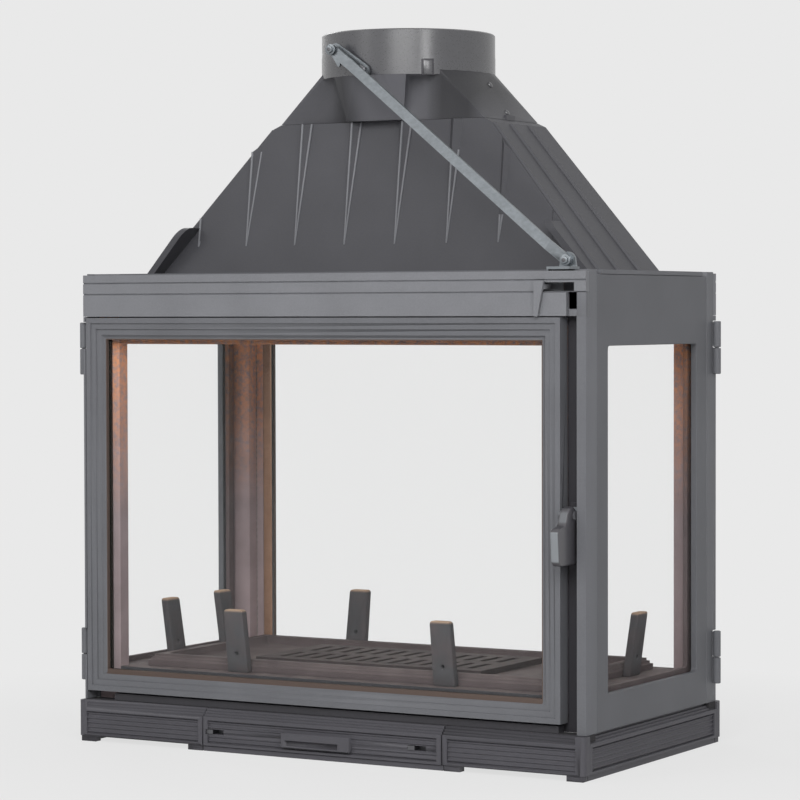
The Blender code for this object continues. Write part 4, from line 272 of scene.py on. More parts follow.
def stove_paint(name, colour, inside=None, roughness=0.5, specular=0.3, rim=None,
                dark_paint_and_rebate_shade=None, lightness=1.0, grain=0.35, painted_shade_and_highlight=(), front_facet_highlight=0.0, brow=None):
    """Heat-proof stove paint, sprayed thin over sand-cast iron.

    The eye reads a soft satin grey with the mould's fine grit under it and slow clouds of
    tone. Inside the firebox the paint is gone, and the eye reads browned iron.
    """
    material, add, place = start_material(name)
    finishes = bpy.context.scene.insert_finishes
    parts = add("ShaderNodeSeparateXYZ", {0: place}).outputs
    cloud = add("ShaderNodeTexNoise", {"Vector": place, "Scale": 1 / (90 * MM),
                                       "Detail": 3}).outputs[0]
    # Moulding sand is about 0.4 mm; the grit is drawn near 2 mm so that it shows at all.
    grit = add("ShaderNodeTexNoise", {"Vector": place, "Scale": 1 / (2.2 * MM),
                                      "Detail": 3, "Roughness": 0.6}).outputs[0]
    tone = drifting(add, cloud, 0.3, 0.7, rgba(colour, 0.92), rgba(colour, 1.07))
    tone = drifting(add, grit, 0.25, 0.75, tone, rgba(colour, 1.7), 0.45 * grain)
    gloss = add("ShaderNodeMapRange", {0: grit, 1: 0.2, 2: 0.8, 3: roughness - 0.2 * grain,
                                       4: roughness + 0.2 * grain}).outputs[0]
    # Bands across X paint shade into concave corners and a highlight onto the chin, strongest at
    # each band's middle.
    for middle, half, lighter in painted_shade_and_highlight:
        away = add("ShaderNodeMath", {0: parts["X"], 1: middle}, operation="SUBTRACT")
        away = add("ShaderNodeMath", {0: away.outputs[0]}, operation="ABSOLUTE")
        tone = drifting(add, away.outputs[0], 0.45 * half, half, rgba(colour, lighter), tone)
    # Faces that look to the front or back are painted toward zinc, a painted highlight on the
    # handles' front facets.
    if front_facet_highlight:
        facing = add("ShaderNodeTexCoord").outputs["Normal"]
        outward = add("ShaderNodeMath", {
            0: add("ShaderNodeSeparateXYZ", {0: facing}).outputs["Y"]}, operation="ABSOLUTE")
        tone = drifting(add, outward.outputs[0], 0.75, 0.97, tone, rgba(finishes.zinc), front_facet_highlight)
    if inside:
        # The door rebate is painted dark as the shade in the channel beside the door.
        if dark_paint_and_rebate_shade:
            tone = layered(add, tone,
                           (firebox_mask(add, parts, *dark_paint_and_rebate_shade), rgba(finishes.dark_paint_and_rebate_shade)))
        mask = firebox_mask(add, parts, *inside)
        if brow:
            mask = add("ShaderNodeMath", {
                0: mask, 1: firebox_mask(add, parts, inside[0], brow, BROW_HEIGHT)},
                       operation="MAXIMUM").outputs[0]
        tone = layered(add, tone, (mask, heat_browned(add, place, parts["Z"], lightness)))
        # The rim round a door's opening takes a darker brown, partly painted shade on its
        # reveals.
        if rim:
            rim_shade_mask = box_mask(add, parts, {"X": rim, "Z": RIM_HEIGHTS})
            mask = add("ShaderNodeMath", {0: mask, 1: rim_shade_mask}, operation="MAXIMUM").outputs[0]
            tone = layered(add, tone, (rim_shade_mask, rgba(finishes.rim_brown_and_shade)))
        gloss = add("ShaderNodeMix", {0: mask, 2: gloss, 3: BURNT_ROUGHNESS}).outputs[0]
    coat(add, tone, gloss, grit, grain, 0.35 * MM,
         {"Specular IOR Level": specular, "IOR": 1.5})
    return material


def browned_iron(name, greyed_with_lit_crest=False, lightness=1.0):
    """Bare grey cast iron, browned by fire and lightly rusted.

    The eye reads a dull, warm brown with an orange bloom on what sits high. A piece with the grey
    film is greyer and ends in a tan crest, a heat stain with a painted highlight along its lit
    top edge.
    """
    material, add, place = start_material(name)
    height = add("ShaderNodeSeparateXYZ", {0: place}).outputs["Z"]
    tone = heat_browned(add, place, height, lightness)
    if greyed_with_lit_crest:
        finishes = bpy.context.scene.insert_finishes
        smoke = add("ShaderNodeTexNoise", {"Vector": place, "Scale": 1 / (25 * MM),
                                           "Detail": 3}).outputs[0]
        film = add("ShaderNodeMapRange", {0: smoke, 1: 0.35, 2: 0.6, 3: 0.45, 4: 0.85})
        tone = layered(add, tone, (film.outputs[0], rgba(finishes.body_paint, 0.55)))
        # The tan crest, a heat stain with a painted highlight along the posts' lit top edge.
        tone = drifting(add, height, CREST_LOW, CREST_HIGH, tone, rgba(finishes.crest))
    # Cast skin is drawn near 2 mm, coarser than it is, so that it shows.
    grit = add("ShaderNodeTexNoise", {"Vector": place, "Scale": 1 / (2.4 * MM),
                                      "Detail": 4, "Roughness": 0.65}).outputs[0]
    gloss = add("ShaderNodeMapRange", {0: grit, 1: 0.2, 2: 0.8, 3: 0.7, 4: 0.9}).outputs[0]
    coat(add, tone, gloss, grit, 0.5, 0.4 * MM, {"Specular IOR Level": 0.2, "IOR": 1.5})
    return material


def plated_steel(name, colour, roughness, along=(0.2, 1.0, 1.0)):
    """Flat steel strip, rolled and then zinc plated or left as milled.

    The eye reads a pale satin metal with faint streaks along the rolling direction.
    """
    material, add, place = start_material(name)
    stretch = add("ShaderNodeMapping", {"Vector": place, "Scale": along}).outputs[0]
    # Rolling lines are finer than a pixel; they are drawn about 1.5 mm wide.
    streak = add("ShaderNodeTexNoise", {"Vector": stretch, "Scale": 1 / (1.5 * MM),
                                        "Detail": 3}).outputs[0]
    cloud = add("ShaderNodeTexNoise", {"Vector": place, "Scale": 1 / (14 * MM),
                                       "Detail": 3}).outputs[0]
    tone = drifting(add, streak, 0.3, 0.7, rgba(colour, 0.86), rgba(colour, 1.08))
    tone = drifting(add, cloud, 0.35, 0.75, tone, rgba(colour, 0.75), 0.35)
    gloss = add("ShaderNodeMapRange", {0: cloud, 1: 0.2, 2: 0.8, 3: roughness - 0.06,
                                       4: roughness + 0.1}).outputs[0]
    coat(add, tone, gloss, streak, 0.2, 0.1 * MM, {"Metallic": 1.0})
    return material


def clear_ceramic(name, colour):
    """Clear glass ceramic pane, rolled and polished.

    The eye looks straight through it and only meets its edge and a faint sheen.
    """
    material, add, place = start_material(name)
    haze = add("ShaderNodeTexNoise", {"Vector": place, "Scale": 1 / (60 * MM)}).outputs[0]
    gloss = add("ShaderNodeMapRange", {0: haze, 1: 0.3, 2: 0.7, 3: 0.04, 4: 0.08})
    shader = add("ShaderNodeBsdfPrincipled", {
        "Base Color": layered(add, rgba(colour, 0.94), (haze, rgba(colour))),
        "Roughness": gloss.outputs[0], "IOR": 1.5, "Alpha": PANE_ALPHA})
    add("ShaderNodeOutputMaterial", {"Surface": shader.outputs[0]})
    return material


def braided_rope(name, colour):
    """Glass fibre rope, knitted and pressed into its groove.

    The eye reads a matt pale grey cord with small slanting stitches.
    """
    material, add, place = start_material(name)
    slant = add("ShaderNodeMapping", {"Vector": place, "Rotation": (0.6, 0.6, 0.6)})
    # Stitches of a 6 mm rope are about 3 mm long.
    stitch = add("ShaderNodeTexWave", {"Vector": slant.outputs[0], "Scale": 1 / (6 * 3 * MM),
                                       "Distortion": 1.5}).outputs[0]
    tone = layered(add, rgba(colour, 0.6), (stitch, rgba(colour, 1.1)))
    coat(add, tone, 0.95, stitch, 0.7, 0.8 * MM, {})
    return material


def packing_shadow_paint(name, colour):
    """Dark packing in the joint under the plinth's moulding, coloured as a painted shadow of the
    recess there.

    The eye reads a matt, crumbly dark seam.
    """
    material, add, place = start_material(name)
    crumb = add("ShaderNodeTexNoise", {"Vector": place, "Scale": 1 / (2.5 * MM),
                                       "Detail": 4, "Roughness": 0.7}).outputs[0]
    tone = layered(add, rgba(colour, 0.7), (crumb, rgba(colour, 1.3)))
    coat(add, tone, 0.95, crumb, 0.6, 0.5 * MM, {"Specular IOR Level": 0.2})
    return material


# Making pieces

def finished(name, shape, material, body, replaced=(), sharp=24):
    """Turns a bmesh into a piece that rides on a body of the frame.

    Edges that turn by more than the sharp angle, in degrees, stay crisp.
    """
    bmesh.ops.remove_doubles(shape, verts=shape.verts, dist=MERGE_DISTANCE)
    bmesh.ops.recalc_face_normals(shape, faces=shape.faces)
    mesh = bpy.data.meshes.new(name)
    shape.to_mesh(mesh)
    shape.free()
    mesh.shade_smooth()
    mesh.set_sharp_from_angle(angle=math.radians(sharp))
    mesh.materials.append(material)
    piece = bpy.data.objects.new(name, mesh)
    bpy.context.scene.collection.objects.link(piece)
    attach(piece, body)
    if replaced:
        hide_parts(*replaced)


def block(xs, ys, zs):
    """Box between two limits on each axis."""
    shape = bmesh.new()
    bmesh.ops.create_cube(shape, size=1.0)
    bmesh.ops.scale(shape, vec=[high - low for low, high in (xs, ys, zs)],
                    verts=shape.verts)
    bmesh.ops.translate(shape, vec=[(low + high) / 2 for low, high in (xs, ys, zs)],
                        verts=shape.verts)
    return shape


def soften(shape, radius, segments):
    """Rounds the sharp edges of a shape."""
    shape.normal_update()
    sharp = [e for e in shape.edges
             if len(e.link_faces) == 2 and e.calc_face_angle() > math.radians(35)]
    bmesh.ops.bevel(shape, geom=sharp, offset=radius, segments=segments, affect="EDGES",
                    profile=0.5, material=-1, clamp_overlap=True)


def turn_end(shape, sign):
    """Turns a front piece half round, so that it fits the rear."""
    if sign < 0:
        bmesh.ops.rotate(shape, cent=(0, 0, 0), verts=shape.verts,
                         matrix=Matrix.Rotation(math.pi, 3, "Z"))


def cut_off(shape, place, towards):
    """Takes away what lies beyond a plane and closes the cut."""
    cut = bmesh.ops.bisect_plane(shape, geom=shape.verts[:] + shape.edges[:]
                                 + shape.faces[:], plane_co=place, plane_no=towards,
                                 clear_outer=True)["geom_cut"]
    bmesh.ops.holes_fill(shape, edges=[e for e in cut if isinstance(e, bmesh.types.BMEdge)])
    return shape


def node_copy(node):
    """Merged copy of a CAD node's mesh."""
    shape = bmesh.new()
    shape.from_mesh(frame["nodes"][node].data)
    bmesh.ops.remove_doubles(shape, verts=shape.verts, dist=MERGE_DISTANCE)
    return shape


def node_body(node):
    """Name of the body that a CAD node rides on."""
    return frame["nodes"][node]["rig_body"]


def smoothed(node, material, sharp=24):
    """Stands for a CAD node with the same shape, shaded as a casting with rounded edges."""
    finished(node + "_casting", node_copy(node), material, node_body(node), (node,),
             sharp)


def finish_nodes(names, material):
    """Gives CAD nodes whose shape stays a better material."""
    for name in names:
        node = frame["nodes"][name]
        node.data.materials.clear()
        node.data.materials.append(material)


# Operators

HINGE_COLUMNS = (("front", "left"), ("rear", "right"))
# How much lighter than the hearth the browned iron of each casting is painted: painted light
# inside the firebox, where the lamps reach little, strongest on the rear door.
COLUMN_PAINTED_LIGHT = 2.7
LINTEL_PAINTED_LIGHT = 1.6
DOOR_PAINTED_LIGHT = {"front": 1.5, "rear": 3.0}
# Where the lintel's lower band ends, its top, and the back of the lintel's front wall.
BAND_END = 325 * MM
BAND_TOP = 557.4 * MM
FASCIA_BACK = 172 * MM
# The latch column's strip, which runs up beside that end.
STRIP_GAP = 0.3 * MM
STRIP_X = (338.4 * MM, 350 * MM)
STRIP_Y = (-180 * MM, -171.5 * MM)
STRIP_FOOT = 529.2 * MM


class DressBody(bpy.types.Operator):
    """Paint the columns, side panels, lintels, doors and top"""

    bl_idname = "insert.dress_body"
    bl_label = "Body castings"

    def execute(self, context):
        finishes = context.scene.insert_finishes
        columns = {way: stove_paint(f"stove_paint_{way}_columns", finishes.body_paint,
                                    (COLUMN_HALF_WIDTH, depth), dark_paint_and_rebate_shade=REBATE_SHADE_INSIDE,
                                    lightness=COLUMN_PAINTED_LIGHT)
                   for way, depth in (("hinge", HINGE_HALF_DEPTH), ("latch", LATCH_HALF_DEPTH))}
        # The side panels take the darker side paint, a painted shade.
        sides = stove_paint("stove_paint_sides", finishes.shaded_side_paint, SIDE_INSIDE)
        lintels = stove_paint("stove_paint_lintels", finishes.lintel_paint,
                              (COLUMN_HALF_WIDTH, LATCH_HALF_DEPTH),
                              lightness=LINTEL_PAINTED_LIGHT, brow=HINGE_HALF_DEPTH)
        plain = stove_paint("stove_paint_plate", finishes.body_paint)
        for end in ENDS:
            for side in ("left", "right"):
                way = "hinge" if (end, side) in HINGE_COLUMNS else "latch"
                smoothed(f"column_{end}_{side}", columns[way])
            rim = (-RIM_FAR, RIM_NEAR) if end == "front" else (-RIM_NEAR, RIM_FAR)
            door = stove_paint(f"stove_paint_{end}_door", finishes.body_paint, DOOR_INSIDE,
                               rim=rim, lightness=DOOR_PAINTED_LIGHT[end])
            smoothed(f"{end}_door_frame", door, 12)
            self.add_lintel(end, lintels, columns["latch"])
        for side in ("left", "right"):
            smoothed(f"side_panel_{side}", sides)
        finish_nodes(["top_plate"], plain)
        return {"FINISHED"}

    def add_lintel(self, end, paint, column_paint):
        """Lintel whose lower band stops short of the latch column, which runs up past it."""
        node, sign = f"lintel_{end}", ENDS[end]
        span = cut_off(node_copy(node), (BAND_END * sign, 0, 0), (sign, 0, 0))
        finished(f"{node}_span", span, paint, node_body(node), (node,))
        fascia = Vector((0, -FASCIA_BACK * sign, 0))
        for name, way in (("tail", 1), ("lip", -1)):
            part = cut_off(node_copy(node), (BAND_END * sign, 0, 0), (-sign, 0, 0))
            part = cut_off(part, fascia, (0, way * sign, 0))
            if name == "tail":
                part = cut_off(part, (0, 0, BAND_TOP), (0, 0, -1))
            finished(f"{node}_{name}", part, paint, node_body(node),
                     (node,))
        strip = block(STRIP_X, STRIP_Y, (STRIP_FOOT, BAND_TOP - STRIP_GAP))
        soften(strip, 0.4 * MM, 2)
        turn_end(strip, sign)
        finished(f"column_{end}_strip", strip, column_paint, "stove")


# Packing under the plinth's moulding, dark as the painted shadow of the recess there: each
# strip's name, its ends and its foot.
PACKING_TOP = 51.78 * MM
PACKING_Y = (-175.7 * MM, -158 * MM)
PACKING = (("left", (-351 * MM, -168.5 * MM), 44 * MM),
           ("middle", (-168 * MM, 168 * MM), 49.3 * MM),
           ("right", (168.5 * MM, 351 * MM), 44 * MM))


class DressPlinth(bpy.types.Operator):
    """Paint the base casting, plinth strips and ash drawer front"""

    bl_idname = "insert.dress_plinth"
    bl_label = "Plinth and drawer"

    def execute(self, context):
        finishes = context.scene.insert_finishes
        plinth = stove_paint("stove_paint_plinth", finishes.plinth_paint)
        # The base casting takes the same dark paint, partly as painted shade of the recess under
        # the doors.
        base = stove_paint("stove_paint_base", finishes.dark_paint_and_rebate_shade,
                           (COLUMN_HALF_WIDTH, LATCH_HALF_DEPTH))
        smoothed("base_casting", base)
        for name in ("plinth_front_left", "plinth_front_right", "plinth_left",
                     "plinth_right", "plinth_rear", "ash_drawer_front", "drawer_lip"):
            smoothed(name, plinth)
        # Dark strips whose colour paints the shadow in the recess between base and plinth.
        packing_shadow = packing_shadow_paint("packing_painted_shadow", finishes.packing_shadow)
        for end, sign in ENDS.items():
            for side, xs, foot in PACKING:
                strip = block(xs, PACKING_Y, (foot, PACKING_TOP))
                turn_end(strip, sign)
                finished(f"base_packing_{end}_{side}", strip, packing_shadow, "stove")
        return {"FINISHED"}


# Ribs of the hood's front: the first one's place, and how far apart they stand. A rib's crest
# is found among the hood's points within the tolerance and above the foot.
RIDGE_FIRST = -250.25 * MM
RIDGE_SPACING = 71.5 * MM
RIDGE_TOLERANCE = 0.6 * MM
RIDGE_FOOT = 590 * MM
RIDGE_RADIUS = 1.5 * MM
# How much of each rib shows, from its foot up; those nearest the right cheek are short.
RIDGE_SHARES = (1, 1, 1, 1, 1, 0.75, 0.28)
# Where the head of each of a rib's two edges stands from the rib's own crest.
RIDGE_LEANS = ((0, 0, 0), (8.5 * MM, 8 * MM, 0))
# Painted shade in the flue box's concave corners beside the chin and a painted highlight on the
# chin: middle, half width, lightness.
FLUE_SHADE_AND_HIGHLIGHT = ((-40 * MM, 30 * MM, 0.55), (18 * MM, 56 * MM, 1.6), (104 * MM, 40 * MM, 0.45))
# Skirt of the collar, which stands off it by the step.
SLEEVE_STEP = 0.25 * MM
SLEEVE_TOP = 850 * MM
SLEEVE_BOTTOM = 823.5 * MM
# Tab at the collar's foot and the notch round it, a dark plate of painted shade behind the tab,
# turned from the front to the right.
TAB_FOOT = 823 * MM
TAB_DEPTH = 5 * MM
TAB_PROUD = 2 * MM
TAB_TURN = math.radians(42.2)
NOTCH_MARGIN = 2.2 * MM
NOTCH_PROUD = 0.6 * MM
RIVETS = ((117.5 * MM, 23.9 * MM, 813.3 * MM), (138.4 * MM, 28.8 * MM, 778.6 * MM))
RIVET_NORMAL = Vector((0.856, 0.0, 0.516))


class DressHood(bpy.types.Operator):
    """Paint the ribbed hood, the flue box and the flue collar"""

    bl_idname = "insert.dress_hood"
    bl_label = "Hood and flue"

    def execute(self, context):
        finishes = context.scene.insert_finishes
        hood = stove_paint("stove_paint_hood", finishes.hood_paint)
        # The flue box's paint carries painted shade in its corners and a painted highlight on its
        # chin.
        flue = stove_paint("stove_paint_flue", finishes.flue_paint, roughness=0.4,
                           painted_shade_and_highlight=FLUE_SHADE_AND_HIGHLIGHT)
        # A dark plate round the collar's tab paints the shade in its notch.
        dark = stove_paint("notch_painted_shade", finishes.dark_paint_and_rebate_shade)
        satin = stove_paint("stove_paint_collar", finishes.collar_paint, roughness=0.28,
                            specular=1.2, grain=0.08)
        finish_nodes(["hood"], hood)
        smoothed("flue_box", flue, 14)
        smoothed("flue_collar", satin, 30)
        self.add_sleeve(satin)
        self.add_tab(context.scene.insert_fittings, dark, satin)
        # The rods take the lighter lintel paint as a painted highlight along the ribs.
        self.add_ridges(stove_paint("ridge_painted_highlight", finishes.lintel_paint))
        self.add_rivets(context.scene.insert_fittings, satin)
        return {"FINISHED"}

    def add_sleeve(self, paint):
        """Skirt of the collar that runs down over the flue box and hides the seam."""
        low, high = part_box("flue_collar")
        centre = (low + high) / 2
        radius = (high.x - low.x) / 2
        shape = bmesh.new()
        bmesh.ops.create_circle(shape, segments=128, radius=radius + SLEEVE_STEP)
        ring = shape.edges[:]
        made = bmesh.ops.extrude_edge_only(shape, edges=ring)["geom"]
        top = [v for v in made if isinstance(v, bmesh.types.BMVert)]
        bmesh.ops.translate(shape, vec=(0, 0, SLEEVE_TOP - SLEEVE_BOTTOM), verts=top)
        bmesh.ops.translate(shape, vec=(centre.x, centre.y, SLEEVE_BOTTOM),
                            verts=shape.verts)
        bmesh.ops.recalc_face_normals(shape, faces=shape.faces)
        bmesh.ops.solidify(shape, geom=shape.faces, thickness=SLEEVE_STEP * 2)
        finished("collar_skirt", shape, paint, "stove", sharp=30)

    def add_tab(self, fittings, dark, bright):
        """Upright tab at the foot of the collar, on a dark plate that paints the shade of its
        notch.
        """
        low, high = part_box("flue_collar")
        centre, radius = (low + high) / 2, (high.x - low.x) / 2
        for name, grow, proud, paint in (("collar_notch_shade", NOTCH_MARGIN, NOTCH_PROUD, dark),
                                         ("collar_tab", 0, TAB_PROUD, bright)):
            half = fittings.notch_width / 2 + grow
            plate = block((-half, half), (-radius - proud, -radius + TAB_DEPTH),
                          (TAB_FOOT - grow / 2, TAB_FOOT + fittings.notch_height + grow))
            soften(plate, 0.5 * MM, 2)
            bmesh.ops.rotate(plate, cent=(0, 0, 0), verts=plate.verts,
                             matrix=Matrix.Rotation(TAB_TURN, 3, "Z"))
            bmesh.ops.translate(plate, vec=(centre.x, centre.y, 0), verts=plate.verts)
            finished(name, plate, paint, "stove")

    def add_ridges(self, paint):
        """Two rods for each rib of the hood, one on its crest and one down its flank, in a paint
        lighter than the hood as a painted highlight.
        """
        points = [v.co for v in frame["nodes"]["hood"].data.vertices]
        for index, share in enumerate(RIDGE_SHARES):
            x = RIDGE_FIRST + index * RIDGE_SPACING
            ridge = [p for p in points if abs(p.x - x) < RIDGE_TOLERANCE and p.y < 0
                     and p.z > RIDGE_FOOT]
            foot = min(ridge, key=lambda p: (round(p.z, 4), p.y))
            head = max(ridge, key=lambda p: (round(p.z, 4), -p.y))
            for side, lean in zip(("near", "far"), RIDGE_LEANS):
                run = (head + Vector(lean) - foot) * share
                rod = bmesh.new()
                bmesh.ops.create_cone(rod, cap_ends=True, segments=16, depth=run.length,
                                      radius1=RIDGE_RADIUS * 0.7, radius2=RIDGE_RADIUS)
                soften(rod, 0.3 * MM, 2)
                bmesh.ops.rotate(rod, cent=(0, 0, 0), verts=rod.verts,
                                 matrix=run.to_track_quat("Z", "Y").to_matrix())
                bmesh.ops.translate(rod, vec=foot + run / 2, verts=rod.verts)
                finished(f"hood_ridge_{index + 1}_{side}", rod, paint, "stove",
                         sharp=40)

    def add_rivets(self, fittings, paint):
        """Rivet heads on the flue box's right shoulder, where it is fixed to the hood."""
        tilt = RIVET_NORMAL.to_track_quat("Z", "Y").to_matrix()
        for index, place in enumerate(RIVETS):
            shape = bmesh.new()
            bmesh.ops.create_uvsphere(shape, u_segments=24, v_segments=12,
                                      radius=fittings.rivet_radius)
            bmesh.ops.scale(shape, vec=(1, 1, 0.6), verts=shape.verts)
            bmesh.ops.rotate(shape, cent=(0, 0, 0), verts=shape.verts, matrix=tilt)
            bmesh.ops.translate(shape, vec=place, verts=shape.verts)
            finished(f"flue_rivet_{index + 1}", shape, paint, "stove",
                     sharp=60)


# The grate lies deep in the hearth, where little light gets to it.
GRATE_LIGHTNESS = 0.6
POST_POINTS = 48
# Width of a log post at its top, as a share of its foot, and how high its hole sits.
POST_TAPER = 0.93
POST_HOLE_SHARE = 0.30


class DressFirebox(bpy.types.Operator):
    """Brown the hearth tray, grate, log posts, baffle and window retainers"""

    bl_idname = "insert.dress_firebox"
    bl_label = "Firebox irons"

    def execute(self, context):
        iron = browned_iron("browned_cast_iron")
        guard = browned_iron("post_iron_with_lit_crest", greyed_with_lit_crest=True)
        for name in list(frame["nodes"]):
            if name.startswith("log_post"):
                self.add_post(name, guard, context.scene.insert_fittings)
        smoothed("hearth_tray", iron)
        smoothed("fire_grate", browned_iron("shaded_cast_iron", lightness=GRATE_LIGHTNESS))
        finish_nodes(["smoke_baffle", "side_glass_retainer_left",
                      "side_glass_retainer_right"], iron)
        return {"FINISHED"}

    def add_post(self, node, iron, fittings):
        """Flat tapered log post with square shoulders and one hole, on its CAD node's foot."""
        low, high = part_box(node)
        centre, size = (low + high) / 2, high - low
        across = 0 if node.endswith(("_left", "_right")) and node.split("_")[2] in ENDS else 1
        out = 1 - across
        side = 1 if centre[out] > 0 else -1
        height, half = size.z, fittings.post_width / 2
        rise = POST_HOLE_SHARE * height
        shape = bmesh.new()
        bmesh.ops.create_circle(shape, segments=POST_POINTS, radius=fittings.post_hole)
        rim = bmesh.ops.create_circle(shape, segments=POST_POINTS, radius=half)["verts"]
        corners = [(-half, -rise), (half, -rise), (half * POST_TAPER, height - rise),
                   (-half * POST_TAPER, height - rise)]
        # The rim is moved out to the post's outline, and the hole stays where it is.
        for vert in rim:
            ray = vert.co.normalized()
            reach = [half / max(abs(ray.x), 1e-6),
                     ((height - rise) if ray.y > 0 else rise) / max(abs(ray.y), 1e-6)]
            vert.co = ray * min(reach)
            share = (vert.co.y + rise) / height
            vert.co.x *= 1 + (POST_TAPER - 1) * share
        for corner in corners:
            nearest = min(rim, key=lambda v: (v.co.xy - Vector(corner)).length)
            nearest.co = (*corner, 0)
        bmesh.ops.bridge_loops(shape, edges=shape.edges[:])
        made = bmesh.ops.extrude_face_region(shape, geom=shape.faces[:])["geom"]
        lifted = [v for v in made if isinstance(v, bmesh.types.BMVert)]
        bmesh.ops.translate(shape, vec=(0, 0, fittings.post_thickness), verts=lifted)
        bmesh.ops.recalc_face_normals(shape, faces=shape.faces)
        tops = [e for e in shape.edges
                if all(v.co.y > height - rise - 0.01 * MM
                       and abs(abs(v.co.x) - half * POST_TAPER) < 0.01 * MM
                       for v in e.verts)]
        bmesh.ops.bevel(shape, geom=tops, offset=fittings.post_corner, segments=5,
                        affect="EDGES", profile=0.5, material=-1)
        soften(shape, 0.8 * MM, 2)
        # The flat post is stood up on its edge of the tray and leans as the CAD's does.
        lean = size[out] - fittings.post_thickness
        for vert in shape.verts:
            u, v, w = vert.co
            up = v + rise
            inner = (low[out] if side > 0 else high[out]) + side * (w + lean * up / height)
            place = Vector((0, 0, low.z + up))
            place[across] = centre[across] + u
            place[out] = inner
            vert.co = place
        finished(node + "_guard", shape, iron, node_body(node), (node,))


# The lever is cut at this height into its carriage, which is trimmed, and its swept tab.
TAB_ROOT_Z = 576 * MM
TAB_SWEEP = 4.5 * MM
CARRIAGE_X = (294 * MM, 325 * MM)
# Across and up to the two pivots of the tie bar.
CRANK_PIN = (-37 * MM, 854.6 * MM)
LEVER_PIN = (312.9 * MM, 594 * MM)
WASHER_THICKNESS = 1 * MM
SOCKET_DEPTH = 0.3 * MM


class DressGear(bpy.types.Operator):
    """Plate the tie bar, lever and crank, and finish pins, shaft, slide and drawer steel"""

    bl_idname = "insert.dress_gear"
    bl_label = "Damper gear and steel"

    def execute(self, context):
        finishes = context.scene.insert_finishes
        zinc = plated_steel("zinc_plated_strip", finishes.zinc, 0.38, (0.2, 1.0, 0.4))
        steel = plated_steel("mill_finish_steel", finishes.steel, 0.45)
        for name in ("tie_bar", "damper_crank"):
            smoothed(name, zinc)
        paint = stove_paint("stove_paint_lever", finishes.lintel_paint)
        carriage = cut_off(node_copy("control_lever"), (0, 0, TAB_ROOT_Z), (0, 0, -1))
        for stop, way in zip(CARRIAGE_X, (-1, 1)):
            carriage = cut_off(carriage, (stop, 0, 0), (way, 0, 0))
        finished("lever_carriage", carriage, zinc, "control_lever",
                 ("control_lever",))
        tab = cut_off(node_copy("control_lever"), (0, 0, TAB_ROOT_Z), (0, 0, 1))
        foot = min(v.co.z for v in tab.verts)
        for vert in tab.verts:
            vert.co.x -= TAB_SWEEP * (TAB_ROOT_Z - vert.co.z) / (TAB_ROOT_Z - foot)
        finished("lever_tab", tab, paint, "control_lever",
                 ("control_lever",))
        low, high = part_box("damper_crank")
        self.add_bolt("crank_bolt", (CRANK_PIN[0], low.y, CRANK_PIN[1]), "tie_bar", zinc,
                      steel, context.scene.insert_fittings)
        low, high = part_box("tie_bar")
        self.add_bolt("lever_bolt", (LEVER_PIN[0], low.y, LEVER_PIN[1]), "tie_bar", zinc,
                      steel, context.scene.insert_fittings)
        for name in ("damper_shaft", "front_hinge_pin_lower", "front_hinge_pin_upper",
                     "rear_hinge_pin_lower", "rear_hinge_pin_upper"):
            smoothed(name, steel)
        finish_nodes(["damper_flap", "air_slide", "ash_pan", "drawer_runner_left",
                      "drawer_runner_right"], steel)
        # Front strips painted darker as painted shade, rear strips lighter as painted light.
        for end, tone in (("front", finishes.strip_steel_painted_light), ("rear", finishes.lit_steel)):
            finish_nodes([f"{end}_door_retainer"],
                         plated_steel(f"strip_steel_painted_light_{end}", tone, 0.6))
        return {"FINISHED"}

    def add_bolt(self, name, place, body, zinc, steel, fittings):
        """Hexagon bolt with a washer and a dark socket, facing the front."""
        parts = ((f"{name}_washer", 32, fittings.washer_radius, 0, WASHER_THICKNESS, zinc),
                 (f"{name}_head", 6, fittings.bolt_across / 2, WASHER_THICKNESS,
                  fittings.bolt_height, zinc),
                 (f"{name}_socket", 24, fittings.bolt_across / 4,
                  WASHER_THICKNESS + fittings.bolt_height, SOCKET_DEPTH, steel))
        for part, sides, radius, start, height, metal in parts:
            shape = bmesh.new()
            bmesh.ops.create_cone(shape, cap_ends=True, segments=sides, radius1=radius,
                                  radius2=radius, depth=height)
            soften(shape, min(0.3 * MM, height / 4), 2)
            bmesh.ops.translate(shape, vec=(0, 0, start + height / 2), verts=shape.verts)
            bmesh.ops.rotate(shape, cent=(0, 0, 0), verts=shape.verts,
                             matrix=Matrix.Rotation(math.pi / 2, 3, "X"))
            bmesh.ops.translate(shape, vec=place, verts=shape.verts)
            finished(part, shape, metal, body, sharp=30)


# Depth at which the handle's tail, kept from the CAD, meets the grip.
HANDLE_SPLIT = 172 * MM
# Side outline of hub and grip, in millimetres from the middle (depth) and floor (height).
HANDLE_PROFILE = ((-172, 290), (-173, 252), (-177, 247), (-212, 247), (-217.5, 252),
                  (-220.4, 286), (-216, 290), (-204, 292), (-199, 297), (-196, 306),
                  (-190, 312), (-181, 313.5), (-173, 308))


